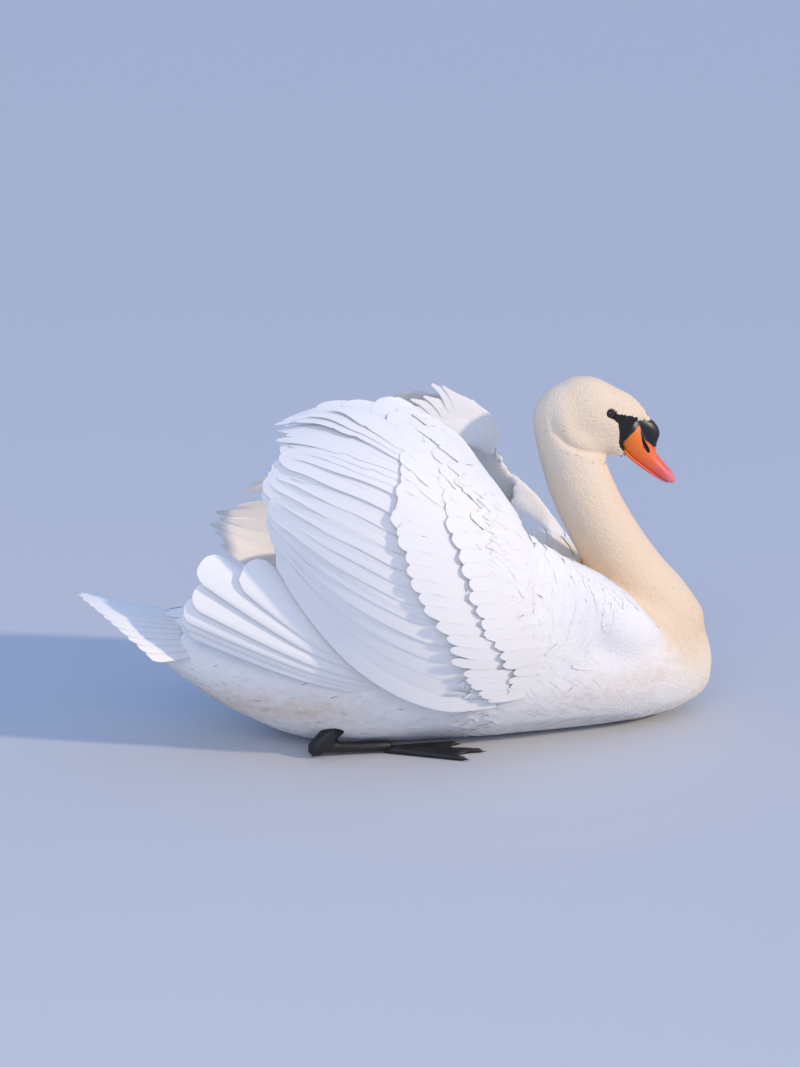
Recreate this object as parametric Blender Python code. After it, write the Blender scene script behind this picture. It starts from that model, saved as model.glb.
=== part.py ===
"""A life-size mute swan at rest on its belly, wings arched over its back and neck drawn back in an S.

Metres, +Z up. The swan faces +X, its right side is -Y, and the middle of its flat belly is the origin.
Each wing is worked out from one curved surface, which is split into the arm and its three fans of feathers.
"""

import math

import bmesh
import bpy
from mathutils import Vector

GAP = 0.0003  # between pieces that touch
SIDES = {"right": -1, "left": 1}

# Trunk: x, half width, lowest and highest point of each cross-section, from the tail to the breast.
TRUNK_SECTIONS = (
    (-0.372, 0.026, 0.150, 0.184),
    (-0.322, 0.060, 0.104, 0.194),
    (-0.262, 0.090, 0.058, 0.206),
    (-0.190, 0.120, 0.018, 0.224),
    (-0.110, 0.146, -0.005, 0.240),
    (0.000, 0.168, -0.008, 0.255),
    (0.110, 0.173, -0.008, 0.258),
    (0.220, 0.162, -0.007, 0.238),
    (0.320, 0.134, -0.004, 0.200),
    (0.400, 0.096, 0.006, 0.165),
    (0.450, 0.050, 0.026, 0.128),
    (0.462, 0.022, 0.050, 0.104),
)
# Shoulder, the loose breast feathers in front of the wing: x, distance from the middle, height, radius.
SHOULDER_STATIONS = (
    (0.392, 0.052, 0.082, 0.038),
    (0.335, 0.082, 0.122, 0.048),
    (0.270, 0.102, 0.176, 0.054),
    (0.205, 0.112, 0.232, 0.052),
    (0.150, 0.116, 0.280, 0.042),
)
SHOULDER_LEAN = Vector((0.66, 0, 0.75))  # across the shoulder, square to its length
# Scapular mound beside the middle of the back: centre and radii.
MOUND_CENTRE, MOUND_RADII = (0.020, 0.088, 0.236), (0.190, 0.052, 0.058)
# Neck centreline from its root in the breast up to the nape: x, height, half depth, half width.
NECK_STATIONS = (
    (0.330, 0.085, 0.050, 0.052),
    (0.388, 0.112, 0.070, 0.066),
    (0.376, 0.158, 0.0605, 0.060),
    (0.344, 0.205, 0.053, 0.052),
    (0.312, 0.256, 0.049, 0.047),
    (0.284, 0.306, 0.047, 0.044),
    (0.262, 0.354, 0.0465, 0.0400),
    (0.247, 0.402, 0.0455, 0.0360),
    (0.240, 0.440, 0.0462, 0.0320),
    (0.246, 0.470, 0.038, 0.0280),
)
NECK_SPLIT = 0.47  # share of the neck's length in its lower piece
THROAT, NAPE = Vector((0.292, 0, 0.397)), Vector((0.214, 0, 0.488))  # ends of the line behind the head

# Head, in sections square to the line from the nape to the face. Distances go forwards from the face.
FACE = Vector((0.338, 0.0, 0.424))
HEAD_DIP = math.radians(25.2)
# distance, lift of the middle above the line, half height, half width
HEAD_SECTIONS = (
    (-0.128, -0.004, 0.024, 0.016),
    (-0.115, -0.001, 0.040, 0.026),
    (-0.088, 0.000, 0.0500, 0.0350),
    (-0.060, 0.000, 0.0500, 0.0360),
    (-0.032, 0.001, 0.0455, 0.0300),
    (-0.010, 0.000, 0.0385, 0.0225),
    (0.004, -0.001, 0.0300, 0.0170),
)
EYE_BACK, EYE_LIFT, EYE_OUT, EYE_RADIUS = -0.0500, 0.0135, 0.0272, 0.0062

# Bill, in sections square to its own axis, which starts at the face.
BILL_DIP = math.radians(49.5)
# distance, top, bottom, half width of the upper bill, top and half width of the knob over its base
UPPER_BILL_SECTIONS = (
    (-0.012, 0.0200, -0.0215, 0.0150, 0.0335, 0.0120),
    (0.000, 0.0185, -0.0225, 0.0168, 0.0350, 0.0126),
    (0.016, 0.0150, -0.0215, 0.0174, 0.0358, 0.0126),
    (0.031, 0.0105, -0.0200, 0.0168, 0.0312, 0.0112),
    (0.040, 0.0092, -0.0187, 0.0163, 0.0190, 0.0085),
    (0.052, 0.0088, -0.0165, 0.0158, 0.0080, 0.0050),
    (0.070, 0.0078, -0.0125, 0.0160, 0.0070, 0.0045),
    (0.086, 0.0062, -0.0098, 0.0155, 0.0050, 0.0040),
    (0.097, 0.0040, -0.0080, 0.0118, 0.0030, 0.0035),
    (0.102, 0.0008, -0.0055, 0.0050, 0.0005, 0.0020),
)
KNOB_FOOT = -0.004  # lift of the lowest point of the knob's own sections
# distance, top, bottom, half width of the lower bill, which closes inside the upper one
LOWER_BILL_SECTIONS = (
    (-0.002, -0.0215, -0.0275, 0.0120),
    (0.020, -0.0215, -0.0268, 0.0128),
    (0.045, -0.0178, -0.0226, 0.0122),
    (0.070, -0.0130, -0.0168, 0.0124),
    (0.088, -0.0100, -0.0132, 0.0108),
    (0.096, -0.0085, -0.0108, 0.0060),
)

# Wing surface. Each station is one feather line, from the lowest secondary (0) to the innermost
# tertial (1): its start on the leading edge, a point halfway along and its tip,
# as x, distance from the middle, height.
WING_STATIONS = {
    "right": (
        ((0.108, 0.172, 0.088), (-0.060, 0.190, 0.143), (-0.195, 0.135, 0.296)),
        ((0.152, 0.186, 0.170), (-0.040, 0.216, 0.236), (-0.213, 0.125, 0.360)),
        ((0.157, 0.172, 0.260), (-0.030, 0.207, 0.337), (-0.216, 0.110, 0.405)),
        ((0.137, 0.130, 0.345), (-0.020, 0.160, 0.424), (-0.188, 0.095, 0.441)),
        ((0.075, 0.072, 0.432), (-0.040, 0.050, 0.493), (-0.174, 0.044, 0.476)),
    ),
    "left": (
        ((0.140, 0.172, 0.088), (-0.060, 0.190, 0.140), (-0.240, 0.128, 0.255)),
        ((0.248, 0.184, 0.182), (-0.025, 0.214, 0.228), (-0.250, 0.120, 0.294)),
        ((0.249, 0.160, 0.262), (-0.005, 0.204, 0.316), (-0.220, 0.110, 0.328)),
        ((0.190, 0.132, 0.358), (0.005, 0.158, 0.400), (-0.150, 0.096, 0.384)),
        ((0.128, 0.092, 0.454), (0.000, 0.088, 0.464), (-0.140, 0.066, 0.430)),
    ),
}
ARM_REACH = 0.46  # share of each feather line covered by the arm and its coverts
ARM_THICKNESS, FEATHER_THICKNESS = 0.034, 0.0035
SECONDARY_SPAN, TERTIAL_SPAN = (0.0, 0.74), (0.76, 1.0)
SECONDARY_COUNT, TERTIAL_COUNT, PRIMARY_COUNT = 10, 4, 6
FEATHER_POINTS = 3  # outline points to each feather tip
TIP_ROUNDING = 0.055  # how far a feather's side falls short of its tip, as a share of its line

# Primaries, folded below and inside the secondaries: root, halfway and tip of the lowest, a middle one
# and the highest.
PRIMARY_STATIONS = {
    "right": (
        ((0.040, 0.138, 0.084), (-0.128, 0.146, 0.128), (-0.322, 0.092, 0.204)),
        ((0.030, 0.144, 0.094), (-0.125, 0.152, 0.152), (-0.328, 0.098, 0.242)),
        ((0.020, 0.150, 0.104), (-0.110, 0.156, 0.184), (-0.245, 0.108, 0.290)),
    ),
    "left": (
        ((0.040, 0.138, 0.080), (-0.128, 0.146, 0.112), (-0.300, 0.096, 0.160)),
        ((0.030, 0.144, 0.090), (-0.125, 0.152, 0.134), (-0.305, 0.102, 0.192)),
        ((0.020, 0.150, 0.100), (-0.110, 0.156, 0.160), (-0.235, 0.112, 0.232)),
    ),
}

# Tail fan: a wedge of feathers, the middle pair longest.
TAIL_ROOT = Vector((-0.260, 0.0, 0.160))
TAIL_LENGTH, TAIL_RISE = 0.206, math.radians(15)
TAIL_SPREAD, TAIL_COUNT = math.radians(56), 11
TAIL_SIDE_SHARE = 0.66  # length of the outermost feather over the middle one
TAIL_ARCH = 0.050  # how far the fan's sides sag below its middle
TAIL_ROOT_THICKNESS, TAIL_TIP_THICKNESS = 0.030, 0.004

# Legs: the shank goes up into the flank, the tarsus and webbed foot lie flat on the floor.
HEEL = Vector((-0.142, 0.102, 0.0135))
TOE_ROOT = Vector((-0.040, 0.104, 0.0105))
SHANK_TOP = Vector((-0.085, 0.102, 0.070))
TARSUS_RADIUS, HEEL_RADIUS, SHANK_RADIUS = 0.0082, 0.0125, 0.0150
# turn from straight ahead (outwards is positive), length
TOES = ((-6, 0.098), (12, 0.128), (30, 0.110))
TOE_RADIUS, TOE_TIP_RADIUS, WEB_THICKNESS, WEB_NOTCH = 0.0066, 0.0038, 0.0032, 0.84
CLAW_LENGTH = 0.012


def clear_scene():
    for obj in list(bpy.data.objects):
        bpy.data.objects.remove(obj)


def material(name, colour, roughness):
    """A Principled BSDF of one plain colour."""
    made = bpy.data.materials.new(name)
    made.use_nodes = True
    shader = made.node_tree.nodes["Principled BSDF"]
    shader.inputs["Base Color"].default_value = (*colour, 1.0)
    shader.inputs["Roughness"].default_value = roughness
    shader.inputs["Metallic"].default_value = 0.0
    return made


def settle(mesh):
    """Joins points that coincide and turns every face outwards."""
    bm = bmesh.new()
    bm.from_mesh(mesh)
    bmesh.ops.remove_doubles(bm, verts=bm.verts, dist=0.00005)
    bmesh.ops.dissolve_degenerate(bm, edges=bm.edges, dist=0.00002)
    bmesh.ops.recalc_face_normals(bm, faces=bm.faces)
    if bm.calc_volume(signed=True) < 0:
        bmesh.ops.reverse_faces(bm, faces=bm.faces)
    bm.to_mesh(mesh)
    bm.free()


def add_object(name, points, faces, finish=None):
    mesh = bpy.data.meshes.new(name)
    mesh.from_pydata([tuple(p) for p in points], [], faces)
    settle(mesh)
    obj = bpy.data.objects.new(name, mesh)
    bpy.context.scene.collection.objects.link(obj)
    if finish:
        mesh.materials.append(finish)
        mesh.shade_smooth()
    return obj


def along(stations, share):
    """A point on the smooth curve through equally spaced stations of numbers, for a share from 0 to 1."""
    place = max(0.0, min(1.0, share)) * (len(stations) - 1)
    first = min(int(place), len(stations) - 2)
    t = place - first
    last = len(stations) - 1
    a, b = stations[max(first - 1, 0)], stations[first]
    c, d = stations[first + 1], stations[min(first + 2, last)]
    return [
        q + 0.5 * t * (r - p + t * (2 * p - 5 * q + 4 * r - s + t * (3 * (q - r) + s - p)))
        for p, q, r, s in zip(a, b, c, d)
    ]


def oval(centre, side, up, half_width, half_height, count):
    """A ring of points round an ellipse."""
    turn = 2 * math.pi / count
    return [
        centre + side * half_width * math.cos(k * turn) + up * half_height * math.sin(k * turn)
        for k in range(count)
    ]


def joined_ovals(centre, side, up, ovals, count):
    """A ring round several overlapping ellipses, each its lift, half width and half height."""
    heart = max(lift - height for lift, _, height in ovals) * 0.5
    heart += min(lift + height for lift, _, height in ovals) * 0.5
    ring = []
    for k in range(count):
        turn = 2 * math.pi * k / count
        across, above = math.cos(turn), math.sin(turn)
        reach = 0.0
        for lift, width, height in ovals:
            offset = heart - lift
            a = (across / width) ** 2 + (above / height) ** 2
            b = above * offset / height**2
            c = (offset / height) ** 2 - 1
            reach = max(reach, (math.sqrt(b * b - a * c) - b) / a)
        ring.append(centre + side * across * reach + up * (heart + above * reach))
    return ring


def loft(name, rings, finish=None):
    """A closed skin over rings of equal count, with a flat cap at each end."""
    count = len(rings[0])
    points = [p for ring in rings for p in ring]
    faces = [tuple(range(count)), tuple(range(len(points) - count, len(points)))]
    for r in range(len(rings) - 1):
        for k in range(count):
            here, after = r * count + k, r * count + (k + 1) % count
            faces.append((here, after, after + count, here + count))
    return add_object(name, points, faces, finish)


def ball(name, centre, lengthways, up, radii, steps=12, finish=None):
    """An ellipsoid with its poles along lengthways."""
    side = up.cross(lengthways)
    rings = []
    for k in range(1, steps):
        angle = math.pi * k / steps
        middle = centre - lengthways * radii[0] * math.cos(angle)
        reach = math.sin(angle)
        rings.append(oval(middle, side, up, radii[1] * reach, radii[2] * reach, 2 * steps))
    return loft(name, rings, finish)


def take_shape(obj, *modifiers):
    """Applies the modifiers, each a type and its settings, in order."""
    for kind, settings in modifiers:
        modifier = obj.modifiers.new(kind.title(), kind)
        for key, value in settings.items():
            setattr(modifier, key, value)
    bpy.context.view_layer.update()
    graph = bpy.context.evaluated_depsgraph_get()
    mesh = bpy.data.meshes.new_from_object(obj.evaluated_get(graph))
    obj.modifiers.clear()
    obj.data = mesh
    return obj


def blend(name, pieces, voxel, smoothing, triangles, finish):
    """Joins overlapping closed pieces into one smooth body of about that many triangles."""
    bm = bmesh.new()
    for piece in pieces:
        bm.from_mesh(piece.data)
        bpy.data.objects.remove(piece)
    mesh = bpy.data.meshes.new(name)
    bm.to_mesh(mesh)
    bm.free()
    obj = bpy.data.objects.new(name, mesh)
    bpy.context.scene.collection.objects.link(obj)
    take_shape(
        obj,
        ("REMESH", {"mode": "VOXEL", "voxel_size": voxel}),
        ("SMOOTH", {"factor": 0.5, "iterations": smoothing}),
        ("TRIANGULATE", {}),
    )
    share = triangles / len(obj.data.polygons)
    take_shape(obj, ("DECIMATE", {"ratio": share, "use_symmetry": True, "symmetry_axis": "Y"}))
    obj.data.materials.clear()
    obj.data.materials.append(finish)
    obj.data.shade_smooth()
    return obj


def cut(obj, point, normal):
    """Removes what lies on the normal's side of a plane and closes the hole with a flat face."""
    bm = bmesh.new()
    bm.from_mesh(obj.data)
    everything = bm.verts[:] + bm.edges[:] + bm.faces[:]
    made = bmesh.ops.bisect_plane(
        bm, geom=everything, plane_co=point, plane_no=normal, clear_outer=True
    )
    edges = [e for e in made["geom_cut"] if isinstance(e, bmesh.types.BMEdge)]
    bmesh.ops.contextual_create(bm, geom=edges)
    bm.to_mesh(obj.data)
    bm.free()
    settle(obj.data)
    return obj


def split(obj, names, point, normal):
    """Parts a body at a plane, with a thin gap. The second name is the piece on the normal's side."""
    upper = obj.copy()
    upper.data = obj.data.copy()
    bpy.context.scene.collection.objects.link(upper)
    lower = cut(obj, point - normal * GAP / 2, normal)
    upper = cut(upper, point + normal * GAP / 2, -normal)
    for piece, name in zip((lower, upper), names):
        piece.name = piece.data.name = name
    return lower, upper


def make_room(obj, *others):
    """Cuts each of the others out of obj, leaving the thin gap between them."""
    for other in others:
        cutter = other.copy()
        cutter.data = other.data.copy()
        cutter.hide_render = True
        cutter.display_type = "WIRE"
        bpy.context.scene.collection.objects.link(cutter)
        take_shape(cutter, ("DISPLACE", {"strength": GAP * 1.5, "mid_level": 0.0}))
        take_shape(obj, ("BOOLEAN", {"operation": "DIFFERENCE", "object": cutter}))
        bpy.data.objects.remove(cutter)
    settle(obj.data)
    return obj


def section_frame(dip):
    """Forwards and up for a line that dips below the horizontal."""
    return Vector((math.cos(dip), 0, -math.sin(dip))), Vector((math.sin(dip), 0, math.cos(dip)))


def head_point(distance, lift, out=0.0):
    forwards, up = section_frame(HEAD_DIP)
    return FACE + forwards * distance + up * lift + Vector((0, out, 0))


def bill_point(distance, lift, out=0.0):
    forwards, up = section_frame(BILL_DIP)
    return FACE + forwards * distance + up * lift + Vector((0, out, 0))


def make_trunk(plumage):
    """The body, its breast and both shoulders, flat where it rests on the floor."""
    across, up = Vector((0, 1, 0)), Vector((0, 0, 1))
    rings = []
    for k in range(27):
        x, half_width, low, high = along(TRUNK_SECTIONS, k / 26)
        rings.append(oval(Vector((x, 0, (low + high) / 2)), across, up, half_width, (high - low) / 2, 28))
    pieces = [loft("barrel", rings)]
    for side in SIDES.values():
        rings = []
        for k in range(13):
            x, out, height, radius = along(SHOULDER_STATIONS, k / 12)
            ends = math.sin(math.pi * (0.5 + k) / 13) ** 0.5
            radius *= ends
            rings.append(oval(Vector((x, side * out, height)), across, SHOULDER_LEAN, radius, radius, 16))
        pieces.append(loft("shoulder", rings))
        middle = Vector(MOUND_CENTRE) * Vector((1, side, 1))
        pieces.append(ball("mound", middle, Vector((1, 0, 0)), up, MOUND_RADII, 10))
    trunk = blend("trunk", pieces, 0.008, 6, 1100, plumage)
    return cut(trunk, Vector((0, 0, 0)), Vector((0, 0, -1)))


def make_neck_and_head(plumage):
    """The neck in two lengths, and the head with its sockets still closed."""
    across = Vector((0, 1, 0))
    steps = 24
    rings = []
    for k in range(steps + 1):
        x, height, depth, width = along(NECK_STATIONS, k / steps)
        after, before = along(NECK_STATIONS, (k + 1) / steps), along(NECK_STATIONS, (k - 1) / steps)
        heading = Vector((after[0] - before[0], 0, after[1] - before[1])).normalized()
        rings.append(oval(Vector((x, 0, height)), across, across.cross(heading), width, depth, 20))
    neck = loft("neck", rings)
    rings = []
    _, up = section_frame(HEAD_DIP)
    for k in range(17):
        distance, lift, half_height, half_width = along(HEAD_SECTIONS, k / 16)
        rings.append(oval(head_point(distance, lift), across, up, half_width, half_height, 20))
    head = loft("skull", rings)
    whole = blend("neck_and_head", [neck, head], 0.004, 4, 1250, plumage)
    x, height, _, _ = along(NECK_STATIONS, NECK_SPLIT)
    further = along(NECK_STATIONS, NECK_SPLIT + 0.03)
    heading = Vector((further[0] - x, 0, further[1] - height)).normalized()
    lower, rest = split(whole, ("neck_lower", "neck_upper"), Vector((x, 0, height)), heading)
    facing = across.cross(NAPE - THROAT).normalized()
    upper, head = split(rest, ("neck_upper", "head"), THROAT, facing)
    return lower, upper, head


def make_bill(horn):
    """The upper bill with its knob, and the lower bill that closes against it."""
    across = Vector((0, 1, 0))
    _, up = section_frame(BILL_DIP)
    count = 16
    rings = []
    for k in range(15):
        distance, top, bottom, half_width, knob_top, knob_width = along(UPPER_BILL_SECTIONS, k / 14)
        bill = (top + bottom) / 2, half_width, (top - bottom) / 2
        knob = (knob_top + KNOB_FOOT) / 2, knob_width, (knob_top - KNOB_FOOT) / 2
        rings.append(joined_ovals(bill_point(distance, 0), across, up, (bill, knob), count))
    upper = loft("bill_upper", rings, horn)
    rings = []
    for k in range(10):
        distance, top, bottom, half_width = along(LOWER_BILL_SECTIONS, k / 9)
        middle = bill_point(distance, (top + bottom) / 2)
        rings.append(oval(middle, across, up, half_width, (top - bottom) / 2, 12))
    lower = make_room(loft("bill_lower", rings, horn), upper)
    return upper, lower


def make_eyes(glass):
    forwards, up = section_frame(HEAD_DIP)
    return [
        ball(
            "eye_" + name,
            head_point(EYE_BACK, EYE_LIFT, side * EYE_OUT),
            Vector((0, side, 0)),
            up,
            (EYE_RADIUS,) * 3,
            6,
            glass,
        )
        for name, side in SIDES.items()
    ]


def feather_line(stations, s, t):
    """A point a share t along the feather line at s, as x, distance from the middle and height."""
    root, middle, tip = (
        Vector(along([station[k] for station in stations], s)) for k in range(3)
    )
    bend = 2 * middle - (root + tip) / 2
    return root * (1 - t) ** 2 + bend * 2 * t * (1 - t) + tip * t * t


def outward(stations, s, t):
    """The wing surface's normal, away from the body."""
    step = 0.01
    low, high = max(s - step, 0), min(s + step, 1)
    up_wing = feather_line(stations, high, t) - feather_line(stations, low, t)
    down_feather = feather_line(stations, s, min(t + step, 1)) - feather_line(stations, s, max(t - step, 0))
    return down_feather.cross(up_wing).normalized()


def make_shell(name, stations, rows, thickness_at, side, finish):
    """A closed shell on a wing surface. Each row is a list of (s, t), and thickness_at takes t."""
    place = lambda p: Vector((p.x, side * p.y, p.z))
    count = len(rows[0])
    outer, inner = [], []
    for row in rows:
        for s, t in row:
            point = feather_line(stations, s, t)
            outer.append(place(point))
            inner.append(place(point + outward(stations, s, t) * -thickness_at(t)))
    base = len(outer)
    faces = []
    for r in range(len(rows) - 1):
        for k in range(count - 1):
            a, b = r * count + k, r * count + k + 1
            c, d = b + count, a + count
            faces += [(a, b, c, d), (base + d, base + c, base + b, base + a)]
    rim = [r * count for r in range(len(rows))]
    rim += [(len(rows) - 1) * count + k for k in range(1, count)]
    rim += [r * count + count - 1 for r in range(len(rows) - 2, -1, -1)]
    rim += list(range(count - 2, 0, -1))
    for here, after in zip(rim, rim[1:] + rim[:1]):
        faces.append((here, after, base + after, base + here))
    return add_object(name, outer + inner, faces, finish)


def fan_rows(span, feathers, start, reach, steps):
    """Rows of (s, t) from the start share to rounded feather tips."""
    across = FEATHER_POINTS
    columns = feathers * across
    rows = []
    for r in range(steps + 1):
        row = []
        for k in range(columns + 1):
            offset = 2 * (k % across) / across - 1 if k < columns else -1
            end = reach * (1 - TIP_ROUNDING * abs(offset) ** 1.6)
            row.append((span[0] + (span[1] - span[0]) * k / columns, start + (end - start) * r / steps))
        rows.append(row)
    return rows


def make_wing(name, side, plumage, vane):
    """One arched wing: the arm, and the fans of its primaries, secondaries and tertials."""
    stations = WING_STATIONS[name]
    arm_rows = [[(k / 12, ARM_REACH * r / 5) for k in range(13)] for r in range(6)]

    def arm_thickness(t):
        share = min(t / ARM_REACH, 1.0)
        return FEATHER_THICKNESS + ARM_THICKNESS * math.sqrt(max(share, 0.02)) * (1 - share) ** 1.2

    def vane_thickness(t):
        return FEATHER_THICKNESS * (1.0 - 0.45 * t)

    arm = make_shell(f"wing_{name}_arm", stations, arm_rows, arm_thickness, side, plumage)
    start = ARM_REACH + GAP * 6
    made = [arm]
    for part, span, count in (
        ("secondaries", SECONDARY_SPAN, SECONDARY_COUNT),
        ("tertials", TERTIAL_SPAN, TERTIAL_COUNT),
    ):
        rows = fan_rows(span, count, start, 1.0, 3)
        made.append(make_shell(f"wing_{name}_{part}", stations, rows, vane_thickness, side, vane))
    rows = fan_rows((0.0, 1.0), PRIMARY_COUNT, 0.0, 1.0, 4)
    folded = PRIMARY_STATIONS[name]
    made.append(make_shell(f"wing_{name}_primaries", folded, rows, vane_thickness, side, vane))
    return made


def make_tail(vane):
    """The fan of tail feathers, thick where the coverts cover its root."""
    across = FEATHER_POINTS
    columns = TAIL_COUNT * across
    steps = 4
    upper, lower = [], []
    for r in range(steps + 1):
        for k in range(columns + 1):
            turn = 2 * k / columns - 1
            offset = 2 * (k % across) / across - 1 if k < columns else -1
            length = TAIL_LENGTH * (1 - (1 - TAIL_SIDE_SHARE) * abs(turn) ** 1.3)
            length *= 1 - TIP_ROUNDING * abs(offset) ** 1.6
            share = r / steps
            angle = turn * TAIL_SPREAD / 2
            reach = 0.035 + length * share
            thickness = TAIL_ROOT_THICKNESS * (1 - share) ** 1.5 * (1 - turn * turn) + TAIL_TIP_THICKNESS
            middle = TAIL_ROOT + Vector(
                (
                    0.035 - reach * math.cos(angle) * math.cos(TAIL_RISE),
                    reach * math.sin(angle) * 1.15,
                    reach * math.sin(TAIL_RISE) - TAIL_ARCH * turn * turn * (0.4 + 0.6 * share),
                )
            )
            upper.append(middle + Vector((0, 0, thickness / 2)))
            lower.append(middle - Vector((0, 0, thickness / 2)))
    count, base = columns + 1, len(upper)
    faces = []
    for r in range(steps):
        for k in range(columns):
            a, b = r * count + k, r * count + k + 1
            faces += [(a, b, b + count, a + count), (base + a + count, base + b + count, base + b, base + a)]
    rim = [r * count for r in range(steps + 1)] + [steps * count + k for k in range(1, count)]
    rim += [r * count + columns for r in range(steps - 1, -1, -1)] + list(range(columns - 1, 0, -1))
    for here, after in zip(rim, rim[1:] + rim[:1]):
        faces.append((here, after, base + after, base + here))
    return add_object("tail", upper + lower, faces, vane)


def rod(start, end, first_radius, last_radius, count=10, steps=5):
    """A round tapered length with rounded ends, for joining."""
    heading = (end - start).normalized()
    side = heading.orthogonal().normalized()
    up = heading.cross(side)
    rings = []
    for k in range(steps):
        angle = math.pi / 2 * (1 - (k + 0.25) / steps)
        rings.append(oval(start - heading * first_radius * math.sin(angle), side, up,
                          first_radius * math.cos(angle), first_radius * math.cos(angle), count))
    for k in range(steps):
        angle = math.pi / 2 * (k + 0.25) / steps
        rings.append(oval(end + heading * last_radius * math.sin(angle), side, up,
                          last_radius * math.cos(angle), last_radius * math.cos(angle), count))
    return loft("rod", rings)


def make_leg(name, side, skin):
    """One leg, drawn up at rest: the shank and tarsus, then the webbed foot flat on the floor."""
    mirrored = lambda p: Vector((p.x, side * p.y, p.z))
    heel, toe_root, top = mirrored(HEEL), mirrored(TOE_ROOT), mirrored(SHANK_TOP)
    leg = blend(
        f"leg_{name}",
        [rod(heel, toe_root, TARSUS_RADIUS, TARSUS_RADIUS), rod(heel, top, HEEL_RADIUS, SHANK_RADIUS)],
        0.003,
        2,
        180,
        skin,
    )
    cut(leg, Vector((0, 0, 0)), Vector((0, 0, -1)))
    pieces, tips = [], []
    for turn, length in TOES:
        angle = math.radians(turn)
        tip = toe_root + Vector((math.cos(angle) * length, side * math.sin(angle) * length, 0))
        tip.z = TOE_TIP_RADIUS * 0.8
        tips.append(tip)
        start = toe_root + Vector((0, 0, TOE_RADIUS * 0.7 - toe_root.z))
        pieces.append(rod(start, tip, TOE_RADIUS, TOE_TIP_RADIUS, 10, 3))
        claw = (tip - toe_root).normalized()
        pieces.append(rod(tip, tip + claw * CLAW_LENGTH - Vector((0, 0, 0.001)), 0.0026, 0.0012, 8, 3))
    low, high = -0.001, WEB_THICKNESS
    for a, b in zip(tips, tips[1:]):
        notch = toe_root + ((a + b) / 2 - toe_root) * WEB_NOTCH
        outline = [toe_root, toe_root + (a - toe_root) * 0.93, notch, toe_root + (b - toe_root) * 0.93]
        pieces.append(
            loft("web", [[Vector((p.x, p.y, z)) for p in outline] for z in (low, high)])
        )
    foot = blend(f"foot_{name}", pieces, 0.0018, 2, 340, skin)
    cut(foot, Vector((0, 0, 0)), Vector((0, 0, -1)))
    return leg, foot


def make_swan():
    clear_scene()
    plumage = material("white plumage", (0.86, 0.83, 0.78), 0.85)
    vane = material("white flight feathers", (0.88, 0.89, 0.92), 0.7)
    horn = material("orange bill", (0.80, 0.22, 0.05), 0.4)
    leather = material("black leg skin", (0.03, 0.03, 0.035), 0.6)
    glass = material("dark brown eye", (0.015, 0.01, 0.008), 0.08)
    trunk = make_trunk(plumage)
    neck_lower, neck_upper, head = make_neck_and_head(plumage)
    bill_upper, bill_lower = make_bill(horn)
    eyes = make_eyes(glass)
    make_room(head, bill_upper, bill_lower, *eyes)
    tail = make_tail(vane)
    make_room(neck_lower, trunk)
    make_room(trunk, tail)
    for name, side in SIDES.items():
        arm, *fans = make_wing(name, side, plumage, vane)
        make_room(arm, trunk)
        for fan in fans:
            make_room(fan, trunk)
        make_room(fans[2], arm, fans[0])
        leg, foot = make_leg(name, side, leather)
        make_room(leg, trunk, foot)


make_swan()
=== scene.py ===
# %% [markdown]
# # A mute swan, feather by feather
#
# A museum's life-size swan is a smooth body with thousands of feathers laid over it, each row covering
# the roots of the next. This lesson builds it the same way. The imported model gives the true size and
# outline. One smooth skin goes just inside it, and every feather is a thin closed mesh whose tip comes
# out at the model's own surface, so nothing grows or shrinks.

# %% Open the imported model
import math

import bmesh
import bpy
import numpy as np
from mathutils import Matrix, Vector
from mathutils.bvhtree import BVHTree
from mathutils.kdtree import KDTree


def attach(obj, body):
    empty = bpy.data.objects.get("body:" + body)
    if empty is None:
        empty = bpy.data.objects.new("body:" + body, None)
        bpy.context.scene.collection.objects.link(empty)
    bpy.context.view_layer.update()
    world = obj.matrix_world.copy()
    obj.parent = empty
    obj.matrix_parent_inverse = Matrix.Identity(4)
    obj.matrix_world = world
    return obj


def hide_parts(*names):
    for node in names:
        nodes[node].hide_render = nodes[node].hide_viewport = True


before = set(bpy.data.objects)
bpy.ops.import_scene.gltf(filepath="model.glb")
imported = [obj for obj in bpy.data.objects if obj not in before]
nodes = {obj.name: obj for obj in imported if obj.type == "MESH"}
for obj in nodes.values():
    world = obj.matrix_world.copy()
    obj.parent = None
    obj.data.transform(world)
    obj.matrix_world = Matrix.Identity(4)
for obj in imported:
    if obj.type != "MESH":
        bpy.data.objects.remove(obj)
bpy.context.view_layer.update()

rng = np.random.default_rng(11)
COARSE = 1.0
SIDES = {"right": -1.0, "left": 1.0}

# %% [markdown]
# ## The shapes the feathers follow
#
# A swan's neck is one long curve, and each folded wing is one curved sheet. Both are worked out here from
# a few stations, so that a feather can be put at any share of the way along and across them, with its
# direction known. The stations are the model's own dimensions, in metres.

# %% The neck's line and the wings' surfaces
NECK_LINE = np.array((
    (0.330, 0.085), (0.388, 0.112), (0.376, 0.158), (0.344, 0.205), (0.312, 0.256),
    (0.284, 0.306), (0.262, 0.354), (0.247, 0.402), (0.240, 0.440), (0.246, 0.470),
))
FACE = np.array((0.338, 0.0, 0.424))  # middle of the line where the bill meets the head
HEAD_DIP, BILL_DIP = math.radians(25.2), math.radians(49.5)

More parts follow.
